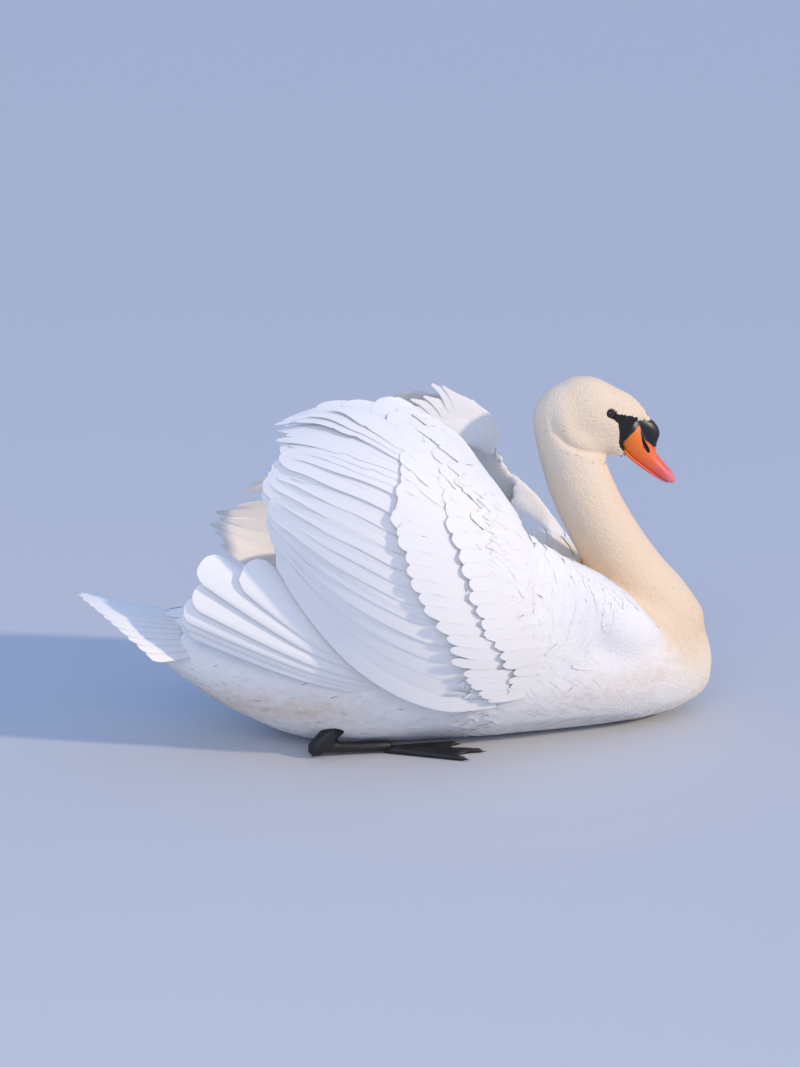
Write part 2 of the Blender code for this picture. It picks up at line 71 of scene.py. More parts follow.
# root, middle and tip of a few feather lines, from the lowest to the highest, on the +Y side
WING = {
    "right": np.array((
        ((0.108, 0.172, 0.088), (-0.060, 0.190, 0.143), (-0.195, 0.135, 0.296)),
        ((0.152, 0.186, 0.170), (-0.040, 0.216, 0.236), (-0.213, 0.125, 0.360)),
        ((0.157, 0.172, 0.260), (-0.030, 0.207, 0.337), (-0.216, 0.110, 0.405)),
        ((0.137, 0.130, 0.345), (-0.020, 0.160, 0.424), (-0.188, 0.095, 0.441)),
        ((0.075, 0.072, 0.432), (-0.040, 0.050, 0.493), (-0.174, 0.044, 0.476)),
    )),
    "left": np.array((
        ((0.140, 0.172, 0.088), (-0.060, 0.190, 0.140), (-0.240, 0.128, 0.255)),
        ((0.248, 0.184, 0.182), (-0.025, 0.214, 0.228), (-0.250, 0.120, 0.294)),
        ((0.249, 0.160, 0.262), (-0.005, 0.204, 0.316), (-0.220, 0.110, 0.328)),
        ((0.190, 0.132, 0.358), (0.005, 0.158, 0.400), (-0.150, 0.096, 0.384)),
        ((0.128, 0.092, 0.454), (0.000, 0.088, 0.464), (-0.140, 0.066, 0.430)),
    )),
}
HAND = {
    "right": np.array((
        ((0.040, 0.138, 0.084), (-0.128, 0.146, 0.128), (-0.322, 0.092, 0.204)),
        ((0.030, 0.144, 0.094), (-0.125, 0.152, 0.152), (-0.328, 0.098, 0.242)),
        ((0.020, 0.150, 0.104), (-0.110, 0.156, 0.184), (-0.245, 0.108, 0.290)),
    )),
    "left": np.array((
        ((0.040, 0.138, 0.080), (-0.128, 0.146, 0.112), (-0.300, 0.096, 0.160)),
        ((0.030, 0.144, 0.090), (-0.125, 0.152, 0.134), (-0.305, 0.102, 0.192)),
        ((0.020, 0.150, 0.100), (-0.110, 0.156, 0.160), (-0.235, 0.112, 0.232)),
    )),
}
ARM_REACH, ARM_THICKNESS, VANE_THICKNESS = 0.46, 0.034, 0.0035


def unit(v):
    return v / np.maximum(np.linalg.norm(v, axis=-1, keepdims=True), 1e-9)


def smooth(low, high, x):
    """0 below low, 1 above high, with an easy slope between."""
    t = np.clip((np.asarray(x, float) - low) / (high - low), 0, 1)
    return t * t * (3 - 2 * t)


def grid_of(first, second):
    return np.meshgrid(first, second, indexing="ij")


def along(stations, share):
    """Points on the smooth curve through equally spaced stations, for shares from 0 to 1."""
    share = np.clip(np.asarray(share, float), 0, 1)
    last = len(stations) - 1
    place = share * last
    first = np.minimum(place.astype(int), last - 1)
    t = (place - first).reshape(share.shape + (1,) * (stations.ndim - 1))
    a, b = stations[np.maximum(first - 1, 0)], stations[first]
    c, d = stations[first + 1], stations[np.minimum(first + 2, last)]
    return b + 0.5 * t * (c - a + t * (2 * a - 5 * b + 4 * c - d + t * (3 * (b - c) + d - a)))


def on_sheet(sheet, s, t):
    """The point a share t along the feather line at s of a wing's sheet, on the +Y side."""
    s, t = np.broadcast_arrays(np.asarray(s, float), np.asarray(t, float))
    lines = along(sheet, s)
    root, middle, tip = lines[..., 0, :], lines[..., 1, :], lines[..., 2, :]
    bend = 2 * middle - (root + tip) / 2
    t = t[..., None]
    return root * (1 - t) ** 2 + bend * 2 * t * (1 - t) + tip * t * t


def sheet_axes(sheet, s, t):
    """Unit vectors along the feather line and out of the sheet."""
    step = 0.01
    s, t = np.broadcast_arrays(np.asarray(s, float), np.asarray(t, float))
    forth = on_sheet(sheet, s, np.minimum(t + step, 1.2)) - on_sheet(sheet, s, t - step)
    across = on_sheet(sheet, np.minimum(s + step, 1), t) - on_sheet(sheet, np.maximum(s - step, 0), t)
    return unit(forth), unit(np.cross(forth, across))


def on_side(side, *vectors):
    """The same vectors on the right or left side of the bird."""
    turn = np.array((1.0, SIDES[side], 1.0))
    return [v * turn for v in vectors]


def wing_flesh(t):
    """How thick the wing is a share t along its feathers: bones in front, gone by two fifths of the way."""
    share = t / ARM_REACH
    return VANE_THICKNESS + ARM_THICKNESS * np.sqrt(share) * (1 - share) ** 1.2


def tilted(dip):
    """Forwards and up for a line that dips below the horizontal."""
    forth, up = (math.cos(dip), 0, -math.sin(dip)), (math.sin(dip), 0, math.cos(dip))
    return np.array(forth), np.array(up)


head_forth, head_up = tilted(HEAD_DIP)
bill_forth, bill_up = tilted(BILL_DIP)
neck_shares = np.linspace(0, 1, 121)
neck_curve = along(NECK_LINE, neck_shares)
neck_down = -unit(np.gradient(neck_curve, axis=0))
print("a wing's middle feather line runs", np.round(on_sheet(WING["right"], 0.5, [0, 0.5, 1]), 3).tolist())

# %% [markdown]
# ## Finishes
#
# A white feather is not painted: it is clear keratin full of air, so it scatters light softly and takes
# the colour of the light round it. The head and neck of a wild swan are stained cream by iron in the
# water, and the breast at the waterline more strongly. Colours are sRGB hex values, turned to linear.


# %% Small helpers for materials
def linear(hex_colour):
    """An sRGB hex colour as linear red, green, blue and alpha."""
    values = [int(hex_colour[i : i + 2], 16) / 255 for i in (1, 3, 5)]
    return [v / 12.92 if v <= 0.04045 else ((v + 0.055) / 1.055) ** 2.4 for v in values] + [1.0]


def put(tree, kind, settings, output=0):
    """Adds a node, sets its properties and sockets or links other outputs to them, and gives its output."""
    made = tree.nodes.new("ShaderNode" + kind)
    for key, value in settings.items():
        if isinstance(value, bpy.types.NodeSocket):
            tree.links.new(value, made.inputs[key])
        elif isinstance(key, str) and hasattr(made, key):
            setattr(made, key, value)
        else:
            made.inputs[key].default_value = value
    return made.outputs[output]


def reckon(tree, operation, *terms):
    return put(tree, "Math", {"operation": operation, **dict(enumerate(terms))})


def attribute(tree, name):
    return put(tree, "Attribute", {"attribute_name": name}, "Fac")


def texture(tree, kind, **settings):
    return put(tree, kind, {**settings, "Vector": put(tree, "TexCoord", {}, "Object")})


def rescaled(tree, value, *limits):
    """The value with limits (from, to) stretched to 0 and 1, or to the two more limits given."""
    return put(tree, "MapRange", {**dict(enumerate(limits, 1)), 0: value})


def mixed(tree, share, colour, second):
    """A colour, and the second, a hex colour, where the share is 1."""
    return put(tree, "Mix", {"data_type": "RGBA", 0: share, 6: colour, 7: linear(second)}, 2)


def ramp(tree, source, *stops):
    """A colour ramp over a value, from (position, hex colour) stops."""
    made = put(tree, "ValToRGB", {"Fac": source}, "Color")
    elements = made.node.color_ramp.elements
    while len(elements) < len(stops):
        elements.new(1.0)
    for element, (position, colour) in zip(elements, stops):
        element.position, element.color = position, linear(colour)
    return made


def new_material(name, colour, height=None, strength=0.0, depth=0.0, **settings):
    """A material of a hex colour, or of colours and bump heights that functions of its nodes give."""
    made = bpy.data.materials.new(name)
    made.use_nodes = True
    tree = made.node_tree
    shader = tree.nodes["Principled BSDF"]
    for key, value in settings.items():
        shader.inputs[key.replace("_", " ")].default_value = value
    if callable(colour):
        tree.links.new(colour(tree), shader.inputs["Base Color"])
    else:
        shader.inputs["Base Color"].default_value = linear(colour)
    if height:
        bump = put(tree, "Bump", {"Strength": strength, "Distance": depth, "Height": height(tree)})
        tree.links.new(bump, shader.inputs["Normal"])
    return made


# %% The materials
def plumage_colour(tree):
    """White on the body, cream up the neck and head, rusty where the breast and flanks meet the water."""
    # stains lie in blotches some 12 mm across
    blotch = rescaled(tree, texture(tree, "TexNoise", Scale=80.0, Detail=3.0), 0.3, 0.7, 0.35, 1.0)
    stain = reckon(tree, "MULTIPLY", attribute(tree, "rust"), blotch)
    white = ramp(tree, attribute(tree, "cream"), (0.0, "#f1efec"), (0.5, "#eee3d1"), (1.0, "#ecd5b7"))
    return mixed(tree, stain, white, "#d2a871")


def skin_colour(tree):
    """Plumage, with bare black skin between eye and bill."""
    return mixed(tree, rescaled(tree, attribute(tree, "lores"), 0.4, 0.6), plumage_colour(tree), "#0f0e11")


def horn_colour(tree):
    """Orange running to pink at the tip, black at base and knob, and black in the nostril as painted shade of
    its dark opening.
    """
    stops = (0.0, "#f07a12"), (0.45, "#ee6a2e"), (0.75, "#e8605a"), (1.0, "#e98a94")
    black = rescaled(tree, attribute(tree, "black"), 0.35, 0.65)
    return mixed(tree, black, ramp(tree, attribute(tree, "reach"), *stops), "#141416")


def barbs(pitch):
    """Fine ridges that sweep out from the shaft towards the tip, from the feather's own map in metres."""

    def height(tree):
        spot = put(tree, "UVMap", {"uv_map": "Vane"})
        across = put(tree, "SeparateXYZ", {0: spot})
        off = reckon(tree, "ABSOLUTE", across)
        swept = reckon(tree, "MULTIPLY_ADD", off, -1.1, across.node.outputs["Y"])
        wave = reckon(tree, "SINE", reckon(tree, "MULTIPLY", swept, 2 * math.pi / pitch))
        return reckon(tree, "ADD", wave, put(tree, "TexNoise", {"Scale": 260.0, "Detail": 2.0, "Vector": spot}))

    return height


# Flight feathers are stiff and sleek with a faint satin, contour feathers softer, matt, with looser
# barbs. The barbs are drawn twice as coarse as they are.
FLIGHT = new_material(
    "satin flight feather", plumage_colour, barbs(0.0014), 0.35, 0.0004, Roughness=0.55, Sheen_Weight=0.15
)
CONTOUR = new_material(
    "matt contour feather", plumage_colour, barbs(0.0016), 0.3, 0.0004, Roughness=0.75, Sheen_Weight=0.25
)
# Velvet plumage of head and neck, and the down between feathers, is matted in ridges some 3 mm wide.
VELVET = new_material(
    "velvety down", skin_colour, lambda tree: texture(tree, "TexNoise", Scale=330.0, Detail=4.0),
    0.8, 0.0020, Roughness=0.85,
)
# The bill is horn: smooth, a little waxy, with fine pores and wrinkles about 1 mm apart.
HORN = new_material(
    "waxy bill horn", horn_colour, lambda tree: texture(tree, "TexNoise", Scale=900.0, Detail=3.0),
    0.25, 0.0005, Roughness=0.38, IOR=1.54,
)
# The eye is wet and nearly black, with a dark brown iris.
EYE = new_material(
    "wet dark eye", "#1d110b", Roughness=0.06, IOR=1.36, Specular_IOR_Level=0.2,
    Coat_Weight=1.0, Coat_Roughness=0.02,
)
# Bare skin of lids, legs and webs is black, leathery, scaled about 2 mm across.
LEATHER = new_material(
    "black scaled skin", "#1c1c1f", lambda tree: texture(tree, "TexVoronoi", Scale=480.0),
    0.6, 0.0006, Roughness=0.5,
)
print("materials:", [m.name for m in bpy.data.materials])

# %% [markdown]
# ## The skin
#
# Under its feathers a swan has one unbroken skin over trunk, neck, head and wings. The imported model's
# nodes of flesh are joined, fused by a voxel remesh, which closes the thin gaps between them, and sunk
# by the depth of the plumage: 6 mm on the body, and 1 mm on neck and face. The head then gets finer faces,
# because its bare black skin shows.


# %% Helpers for meshes
def choose(*objects):
    """Selects these objects alone, with the first of them active."""
    bpy.ops.object.select_all(action="DESELECT")
    for obj in objects:
        obj.select_set(True)
        bpy.context.view_layer.objects.active = objects[0]


def face_out(obj, weld=0.0):
    """Turns a mesh's faces outwards, once points closer than weld are one."""
    choose(obj)
    bpy.ops.object.mode_set(mode="EDIT")
    bpy.ops.mesh.select_all(action="SELECT")
    if weld:
        bpy.ops.mesh.remove_doubles(threshold=weld)
    bpy.ops.mesh.normals_make_consistent(inside=False)
    bpy.ops.object.mode_set(mode="OBJECT")


def apply_all(obj):
    choose(obj)
    for modifier in list(obj.modifiers):
        bpy.ops.object.modifier_apply(modifier=modifier.name)


def coordinates(mesh, what="co"):
    values = np.zeros(len(mesh.vertices) * 3)
    mesh.vertices.foreach_get(what, values)
    return values.reshape(-1, 3)


def move_points(mesh, points):
    mesh.vertices.foreach_set("co", points.astype(np.float32).ravel())
    mesh.update()


def smooth_shaded(mesh):
    mesh.polygons.foreach_set("use_smooth", np.ones(len(mesh.polygons), bool))


def new_object(name, mesh, material):
    smooth_shaded(mesh)
    obj = bpy.data.objects.new(name, mesh)
    bpy.context.scene.collection.objects.link(obj)
    mesh.materials.append(material)
    return obj


def own_copy(node):
    made = node.copy()
    made.data = node.data.copy()
    made.parent = None
    bpy.context.scene.collection.objects.link(made)
    return made


def build(name, points, faces, material):
    """An object from arrays of points and of faces, all with the same number of corners."""
    mesh = bpy.data.meshes.new(name)
    faces = np.asarray(faces, np.int32)
    mesh.vertices.add(len(points))
    mesh.vertices.foreach_set("co", np.asarray(points, np.float32).ravel())
    mesh.loops.add(faces.size)
    mesh.loops.foreach_set("vertex_index", faces.ravel())
    mesh.polygons.add(len(faces))
    mesh.polygons.foreach_set("loop_start", np.arange(0, faces.size, faces.shape[1], dtype=np.int32))
    mesh.update(calc_edges=True)
    mesh.validate()
    return new_object(name, mesh, material)


def paint(obj, **fields):
    """Keeps one number a vertex under each name, for the materials."""
    for name, values in fields.items():
        layer = obj.data.attributes.new(name, "FLOAT", "POINT")
        layer.data.foreach_set("value", np.asarray(values, np.float32))


def place_piece(obj, slot, *stands_for):
    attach(obj, "root")
    if stands_for:
        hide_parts(*stands_for)


# %% Where the plumage is cream, rusty or deep
def neck_share(points):
    """For each point, the share up the neck of the nearest part of its line, and how far off that is."""
    flat = points[:, None, [0, 2]] - neck_curve[None, :, :]
    off = np.hypot(np.linalg.norm(flat, axis=2), np.abs(points[:, None, 1]))
    nearest = off.argmin(axis=1)
    return neck_shares[nearest], off[np.arange(len(points)), nearest]


def in_head(points):
    """Distance ahead of the bill's root along the head, and lift above its line."""
    offset = points - FACE
    return offset @ head_forth, offset @ head_up


def from_face(points):
    return np.linalg.norm(points - FACE, axis=1)


def head_weight(points):
    return 1 - smooth(0.062, 0.085, np.linalg.norm(points - (FACE - 0.06 * head_forth), axis=1))


def neck_weight(points):
    share, off = neck_share(points)
    return np.maximum((1 - smooth(0.075, 0.1, off)) * smooth(0.16, 0.42, share), head_weight(points))


def cream(points):
    share, off = neck_share(points)
    up_neck = 0.35 + 0.65 * smooth(0.03, 0.2, share) - 0.25 * smooth(0.45, 0.9, share)
    neck = (1 - smooth(0.08, 0.12, off)) * up_neck * smooth(0.26, 0.38, points[:, 0] + 0.5 * points[:, 2])
    cheeks = smooth(-0.04, -0.02, in_head(points)[0]) * (from_face(points) < 0.08)
    return np.clip(np.maximum(neck, 0.9 * np.maximum(head_weight(points), cheeks)), 0, 1)


def rust(points):
    """Stronger in a band at the waterline, about 60 mm up the breast, and under the tail."""
    x, z = points[:, 0], points[:, 2]
    line = 0.085 + 0.05 * smooth(0.3, 0.45, x)
    band = np.exp(-(((z - line) / 0.035) ** 2)) * smooth(0.05, 0.42, x) * 0.4
    tail = np.exp(-(((z - 0.075) / 0.03) ** 2)) * (1 - smooth(-0.16, -0.02, x)) * 0.55
    return np.clip(band + tail, 0, 1)


def velvet(points):
    """Where the plumage is short and dense: neck, head, breast and the front of the shoulders."""
    return np.maximum(neck_weight(points), smooth(0.22, 0.33, points[:, 0]) * smooth(0.02, 0.05, points[:, 2]))


def coat_depth(points):
    """How deep the plumage is, in metres."""
    soft = velvet(points)
    depth = 0.006 - 0.0047 * soft - 0.0044 * (1 - soft) * smooth(0.06, 0.13, points[:, 0])
    return depth - 0.0004 * head_weight(points)


# %% Join the nodes of flesh and fuse them
FLESH = ("trunk", "neck_lower", "neck_upper", "head")


def fuse(objects, rounds):
    """Joins objects into the first, as one closed skin, and relaxes it."""
    choose(*objects)
    bpy.ops.object.join()
    remesh = objects[0].modifiers.new("fuse", "REMESH")
    remesh.mode, remesh.voxel_size = "VOXEL", 0.0045
    even = objects[0].modifiers.new("even", "SMOOTH")
    even.factor, even.iterations = 0.5, rounds
    apply_all(objects[0])


def lobe(centre, half_sizes, turn=0.0):
    """An ellipsoid of flesh, its long axis turned down from the level."""
    choose()
    bpy.ops.mesh.primitive_uv_sphere_add(
        segments=48, ring_count=24, radius=1.0, location=centre, rotation=(0, turn, 0)
    )
    made = bpy.context.object
    made.scale = half_sizes
    bpy.ops.object.transform_apply(location=True, rotation=True, scale=True)
    return made


parts = [own_copy(nodes[name]) for name in FLESH]
# the muscles of the nape fill the hollow behind the skull
parts.append(lobe((0.2465, 0, 0.4465), (0.0535, 0.0335, 0.0535)))
# the feathered forehead runs out in a tongue over the root of the knob
brow = FACE - 0.0045 * head_forth + 0.0298 * head_up
parts.append(lobe(brow, (0.0410, 0.0130, 0.0105), HEAD_DIP + math.radians(24.0)))
# and the chin in a wedge between the branches of the lower bill
chin = FACE - 0.0190 * head_forth - 0.0335 * head_up
parts.append(lobe(chin, (0.0360, 0.0160, 0.0080), HEAD_DIP + math.radians(6.0)))
skin = parts[0]
skin.name = skin.data.name = "skin"
fuse(parts, 6)
outer = BVHTree.FromObject(skin, bpy.context.evaluated_depsgraph_get())
points, normals = coordinates(skin.data), coordinates(skin.data, "normal")
move_points(skin.data, points - normals * coat_depth(points)[:, None])
print("the fused body has", len(skin.data.polygons), "faces")


# %% The flesh of each wing, as a blade inside the model's own
def arm_blade(side):
    s, t = grid_of(np.linspace(0.03, 0.97, 26), np.linspace(0.015, 0.38, 13))
    place = on_sheet(WING[side], s, t)
    _, out = sheet_axes(WING[side], s, t)
    cap = np.sqrt(np.clip(np.minimum(s - 0.03, 0.97 - s) / 0.05, 0, 1)) * 0.8 + 0.2
    deep = np.maximum((wing_flesh(t) - 0.004) * cap, 0.007)
    return on_side(side, place - out * 0.0025, place - out * (0.0025 + deep)[..., None])


def close_sheet(top, bottom):
    """Points and faces of a closed shell between two grids."""
    rows, columns = top.shape[:2]
    base = rows * columns
    at = np.arange(base).reshape(rows, columns)
    faces = np.stack([at[:-1, :-1], at[:-1, 1:], at[1:, 1:], at[1:, :-1]], -1).reshape(-1, 4)
    rim = np.concatenate([at[0, :], at[1:, -1], at[-1, -2::-1], at[-2:0:-1, 0]])
    after = np.roll(rim, -1)
    walls = np.stack([after, rim, rim + base, after + base], -1)
    points = np.concatenate([top.reshape(-1, 3), bottom.reshape(-1, 3)])
    return points, np.concatenate([faces, faces[:, ::-1] + base, walls])


def shoulder_web(side):
    """Skin from the leading edge forwards, down to the shoulder, so that the wing grows out of the body."""
    s, u = grid_of(np.linspace(0.02, 0.70, 28), np.linspace(0, 1, 15))
    edge = on_sheet(WING[side], s, 0.0 * u)
    forth, out = sheet_axes(WING[side], s, 0.0 * u)
    start, way = on_side(side, edge - out * 0.0045, -forth)
    aim = start + way * 0.02 + np.array((0.075, 0, -0.030))
    landed, bottom = np.empty_like(aim), np.empty_like(aim)
    for at in np.ndindex(s.shape):
        landed[at] = outer.find_nearest(aim[at])[0]
    for _ in range(12):
        landed[1:-1] = (landed[:-2] + 2 * landed[1:-1] + landed[2:]) / 4
    gap = np.linalg.norm(landed - start, axis=-1, keepdims=True)
    top = start + (landed - start) * u[..., None] + way * gap * (u * (1 - u) ** 2)[..., None]
    for at in np.ndindex(s.shape):
        spot, facing = outer.find_nearest(top[at])[:2]
        bottom[at] = np.array(spot) - np.array(facing) * 0.012
    return top, bottom


joined, webs = [skin], []
for side in SIDES:
    web = shoulder_web(side)
    webs.append(web[0].reshape(-1, 3))
    joined.append(build("web_" + side, *close_sheet(*web), VELVET))
    joined.append(build("blade_" + side, *close_sheet(*arm_blade(side)), VELVET))
    face_out(joined[-1])
fuse(joined, 4)

# fewer faces where feathers hide the skin
hidden = skin.vertex_groups.new(name="hidden")
hidden.add(np.flatnonzero(velvet(coordinates(skin.data)) < 0.4).tolist(), 1.0, "REPLACE")
thin = skin.modifiers.new("thin", "DECIMATE")
thin.ratio, thin.vertex_group = 0.45, "hidden"
apply_all(skin)

# finer faces on the head, then relaxed, for its bare skin
work = bmesh.new()
work.from_mesh(skin.data)
centre = Vector(FACE - 0.050 * head_forth)
for reach in (0.078, 0.060):
    close = [e for e in work.edges if ((e.verts[0].co + e.verts[1].co) / 2 - centre).length < reach]
    bmesh.ops.subdivide_edges(work, edges=close, cuts=1, use_grid_fill=True)
near = [v for v in work.verts if (v.co - centre).length < 0.078]
for _ in range(10):
    bmesh.ops.smooth_vert(work, verts=near, factor=0.5, use_axis_x=True, use_axis_y=True, use_axis_z=True)
bmesh.ops.recalc_face_normals(work, faces=work.faces)
work.to_mesh(skin.data)
work.free()
skin.data.materials.clear()
skin.data.materials.append(VELVET)
smooth_shaded(skin.data)

# %% Cheeks and eye sockets
# the cheek's lower edge, as distance along the head and lift: it hangs a little over the neck
CHEEK = [
    (-0.150, 0.020), (-0.137, 0.000), (-0.131, -0.012), (-0.124, -0.025), (-0.112, -0.039),
    (-0.091, -0.0485), (-0.075, -0.0495), (-0.041, -0.0440), (0.000, -0.0430), (0.030, -0.0380),
    (0.030, 0.060), (-0.150, 0.060),
]
EYE_BACK, EYE_LIFT, EYE_OUT, EYE_RADIUS = -0.0490, 0.0130, 0.0270, 0.0066
# distance along the bill and lift, in metres, round the orange side of the bill
ORANGE = [
    (-0.0014, 0.0130), (0.0051, 0.0101), (0.0120, 0.0056), (0.0216, 0.0053), (0.0300, 0.0075),
    (0.0385, 0.0085), (0.0420, 0.0116), (0.0520, 0.0300), (0.1200, 0.0300), (0.1200, -0.0120),
    (0.0985, -0.0300), (0.0800, -0.0250), (0.0600, -0.0300), (0.0422, -0.0256), (0.0220, -0.0254),
    (0.0015, -0.0234), (-0.0018, -0.0060),
]


def depth_inside(x, y, corners):
    """How far each point lies inside a closed outline, below zero outside it."""
    inside, nearest = np.zeros(np.shape(x), bool), np.full(np.shape(x), 1.0)
    for (ax, ay), (bx, by) in zip(corners, corners[1:] + corners[:1]):
        dx, dy = bx - ax, by - ay
        inside ^= ((ay > y) != (by > y)) & (x < dx * (y - ay) / (dy or 1e-9) + ax)
        share = np.clip(((x - ax) * dx + (y - ay) * dy) / (dx * dx + dy * dy), 0, 1)
        nearest = np.minimum(nearest, np.hypot(x - ax - share * dx, y - ay - share * dy))
    return np.where(inside, nearest, -nearest)


def from_eye(points):
    ahead, lift = in_head(points)
    return np.hypot(ahead - EYE_BACK, (lift - EYE_LIFT) * 1.12)


def in_bill(points):
    offset = points - FACE
    return offset @ bill_forth, offset @ bill_up


points, normals = coordinates(skin.data), coordinates(skin.data, "normal")
ahead, lift = in_head(points)
cheek = depth_inside(ahead, lift, CHEEK)
sideways = smooth(0.006, 0.020, np.abs(points[:, 1])) * (from_face(points) < 0.2)
cheek_height, crease_depth = 0.0020, 0.0030
swell = cheek_height * np.exp(-(((cheek - 0.012) / 0.010) ** 2))
swell = swell - crease_depth * np.exp(-(((cheek + 0.003) / 0.0050) ** 2))
points += normals * (swell * sideways * smooth(-0.140, -0.105, ahead))[:, None]
socket = (1 - smooth(0.0054, 0.0080, from_eye(points))) * (np.abs(points[:, 1]) > 0.02)
points[:, 1] -= np.sign(points[:, 1]) * 0.0050 * socket
# the skin draws in under the bill's orange horn
under_horn = smooth(-0.0010, 0.0020, depth_inside(*in_bill(points), ORANGE)) * (points[:, 0] > 0.3)
points[:, 1] *= 1 - 0.25 * under_horn
move_points(skin.data, points)
skin_points, skin_normals = coordinates(skin.data), coordinates(skin.data, "normal")
print("the skin has", len(skin.data.polygons), "faces")

# %% Black bare skin between eye and bill
# distance along the head and lift, in metres, round the bare skin as it is on every mute swan:
# a point at the eye, the forehead, and a straight back edge down to the gape and the chin
LORES = [
    (-0.0480, 0.0160), (-0.0460, 0.0180), (-0.0378, 0.0182), (-0.0250, 0.0192), (-0.0131, 0.0213),
    (0.0067, 0.0254), (0.0165, 0.0268), (0.0240, 0.0235), (0.0400, 0.0150), (0.0400, -0.0345),
    (0.0090, -0.0335), (-0.0020, -0.0305), (-0.0105, -0.0270), (-0.0160, -0.0212), (-0.0243, -0.0062),
    (-0.0318, 0.0030), (-0.0400, 0.0068), (-0.0470, 0.0070),
]
on_face = (np.abs(skin_points[:, 1]) < 0.05) & (from_face(skin_points) < 0.1)
bare = np.maximum(depth_inside(*in_head(skin_points), LORES), 0.0054 - from_eye(skin_points))
bare = np.where(on_face, bare, -0.01)
paint(skin, lores=np.clip(0.5 + bare / 0.004, 0, 1), cream=cream(skin_points), rust=rust(skin_points))
place_piece(skin, "white_plumage", *FLESH, "wing_left_arm", "wing_right_arm")
skin_tree = BVHTree.FromObject(skin, bpy.context.evaluated_depsgraph_get())
skin_corners = [list(face.vertices) for face in skin.data.polygons]


def on_skin(points):
    """The nearest points of the skin, with its smooth normals there."""
    found, facing = np.empty_like(points), np.empty_like(points)
    for k, point in enumerate(points):
        found[k], _, face, _ = skin_tree.find_nearest(point)
        corners = skin_corners[face]
        weights = 1 / (np.linalg.norm(skin_points[corners] - found[k], axis=1) + 1e-5)
        facing[k] = weights @ skin_normals[corners]
    return found, unit(facing)


print("bare skin points:", int((bare > 0).sum()))

# %% [markdown]
# ## One feather, many times
#
# A feather is a stiff shaft with a vane on each side. Vane edges are rounded at the tip, arched a little
# across, and closed into a thin solid, because a single sheet can't be made or printed. Particle hair or
# instances would be lost in an export, so each tract of feathers is one joined mesh, built from arrays:
# a grid of rows along the shaft and columns across, bent along its own centre line.


# %% The feather builder
def feather_shape(seed, rows, columns, ragged, waist, fullest, taper=0.10, notches=0):
    """How wide each row is, and how far each column is drawn back at the tip."""
    own = np.random.default_rng(seed)
    a, b = np.linspace(0, 1, rows), np.linspace(-1, 1, columns)
    width = waist + (1 - waist) * smooth(-0.02, fullest, a)
    width = width * (1 - taper * smooth(0.6, 1.05, a))
    wide = width[:, None] * np.sin(b * math.pi / 2)
    back = (1 - np.cos(b * math.pi / 2)) * np.ones((rows, 1))
    back = back + own.normal(0, ragged, (1, columns)) * (0.6 + 0.4 * np.abs(b))
    for _ in range(notches):
        # the barbs part in a notch: one row of one side is drawn in
        row, side = own.integers(int(rows * 0.5), rows - 2), own.choice((-1, 1))
        limit = width[row] * own.uniform(0.80, 0.94) * (1 - 0.05 * (1 - np.abs(b)))
        wide[row] = np.where(b * side > 0, side * np.minimum(np.abs(wide[row]), limit), wide[row])
    return a, b, wide, back


def variants(count, seed, *form):
    return [feather_shape(seed + k, *form) for k in range(count)]


long_vanes = variants(6, 0, 24, 9, 0.04, 0.5, 0.25, 0.35)
blunt_vanes = variants(6, 30, 24, 9, 0.04, 0.45, 0.6, 0.05)
pointed_vanes = variants(6, 10, 24, 9, 0.05, 0.5, 0.3, 0.75, 2)
short_vanes = variants(8, 20, 12, 9, 0.05, 0.5, 0.45, 0.25, 1)


def quads(at):
    return np.stack([at[:-1, :-1], at[:-1, 1:], at[1:, 1:], at[1:, :-1]], -1).reshape(-1, 4)


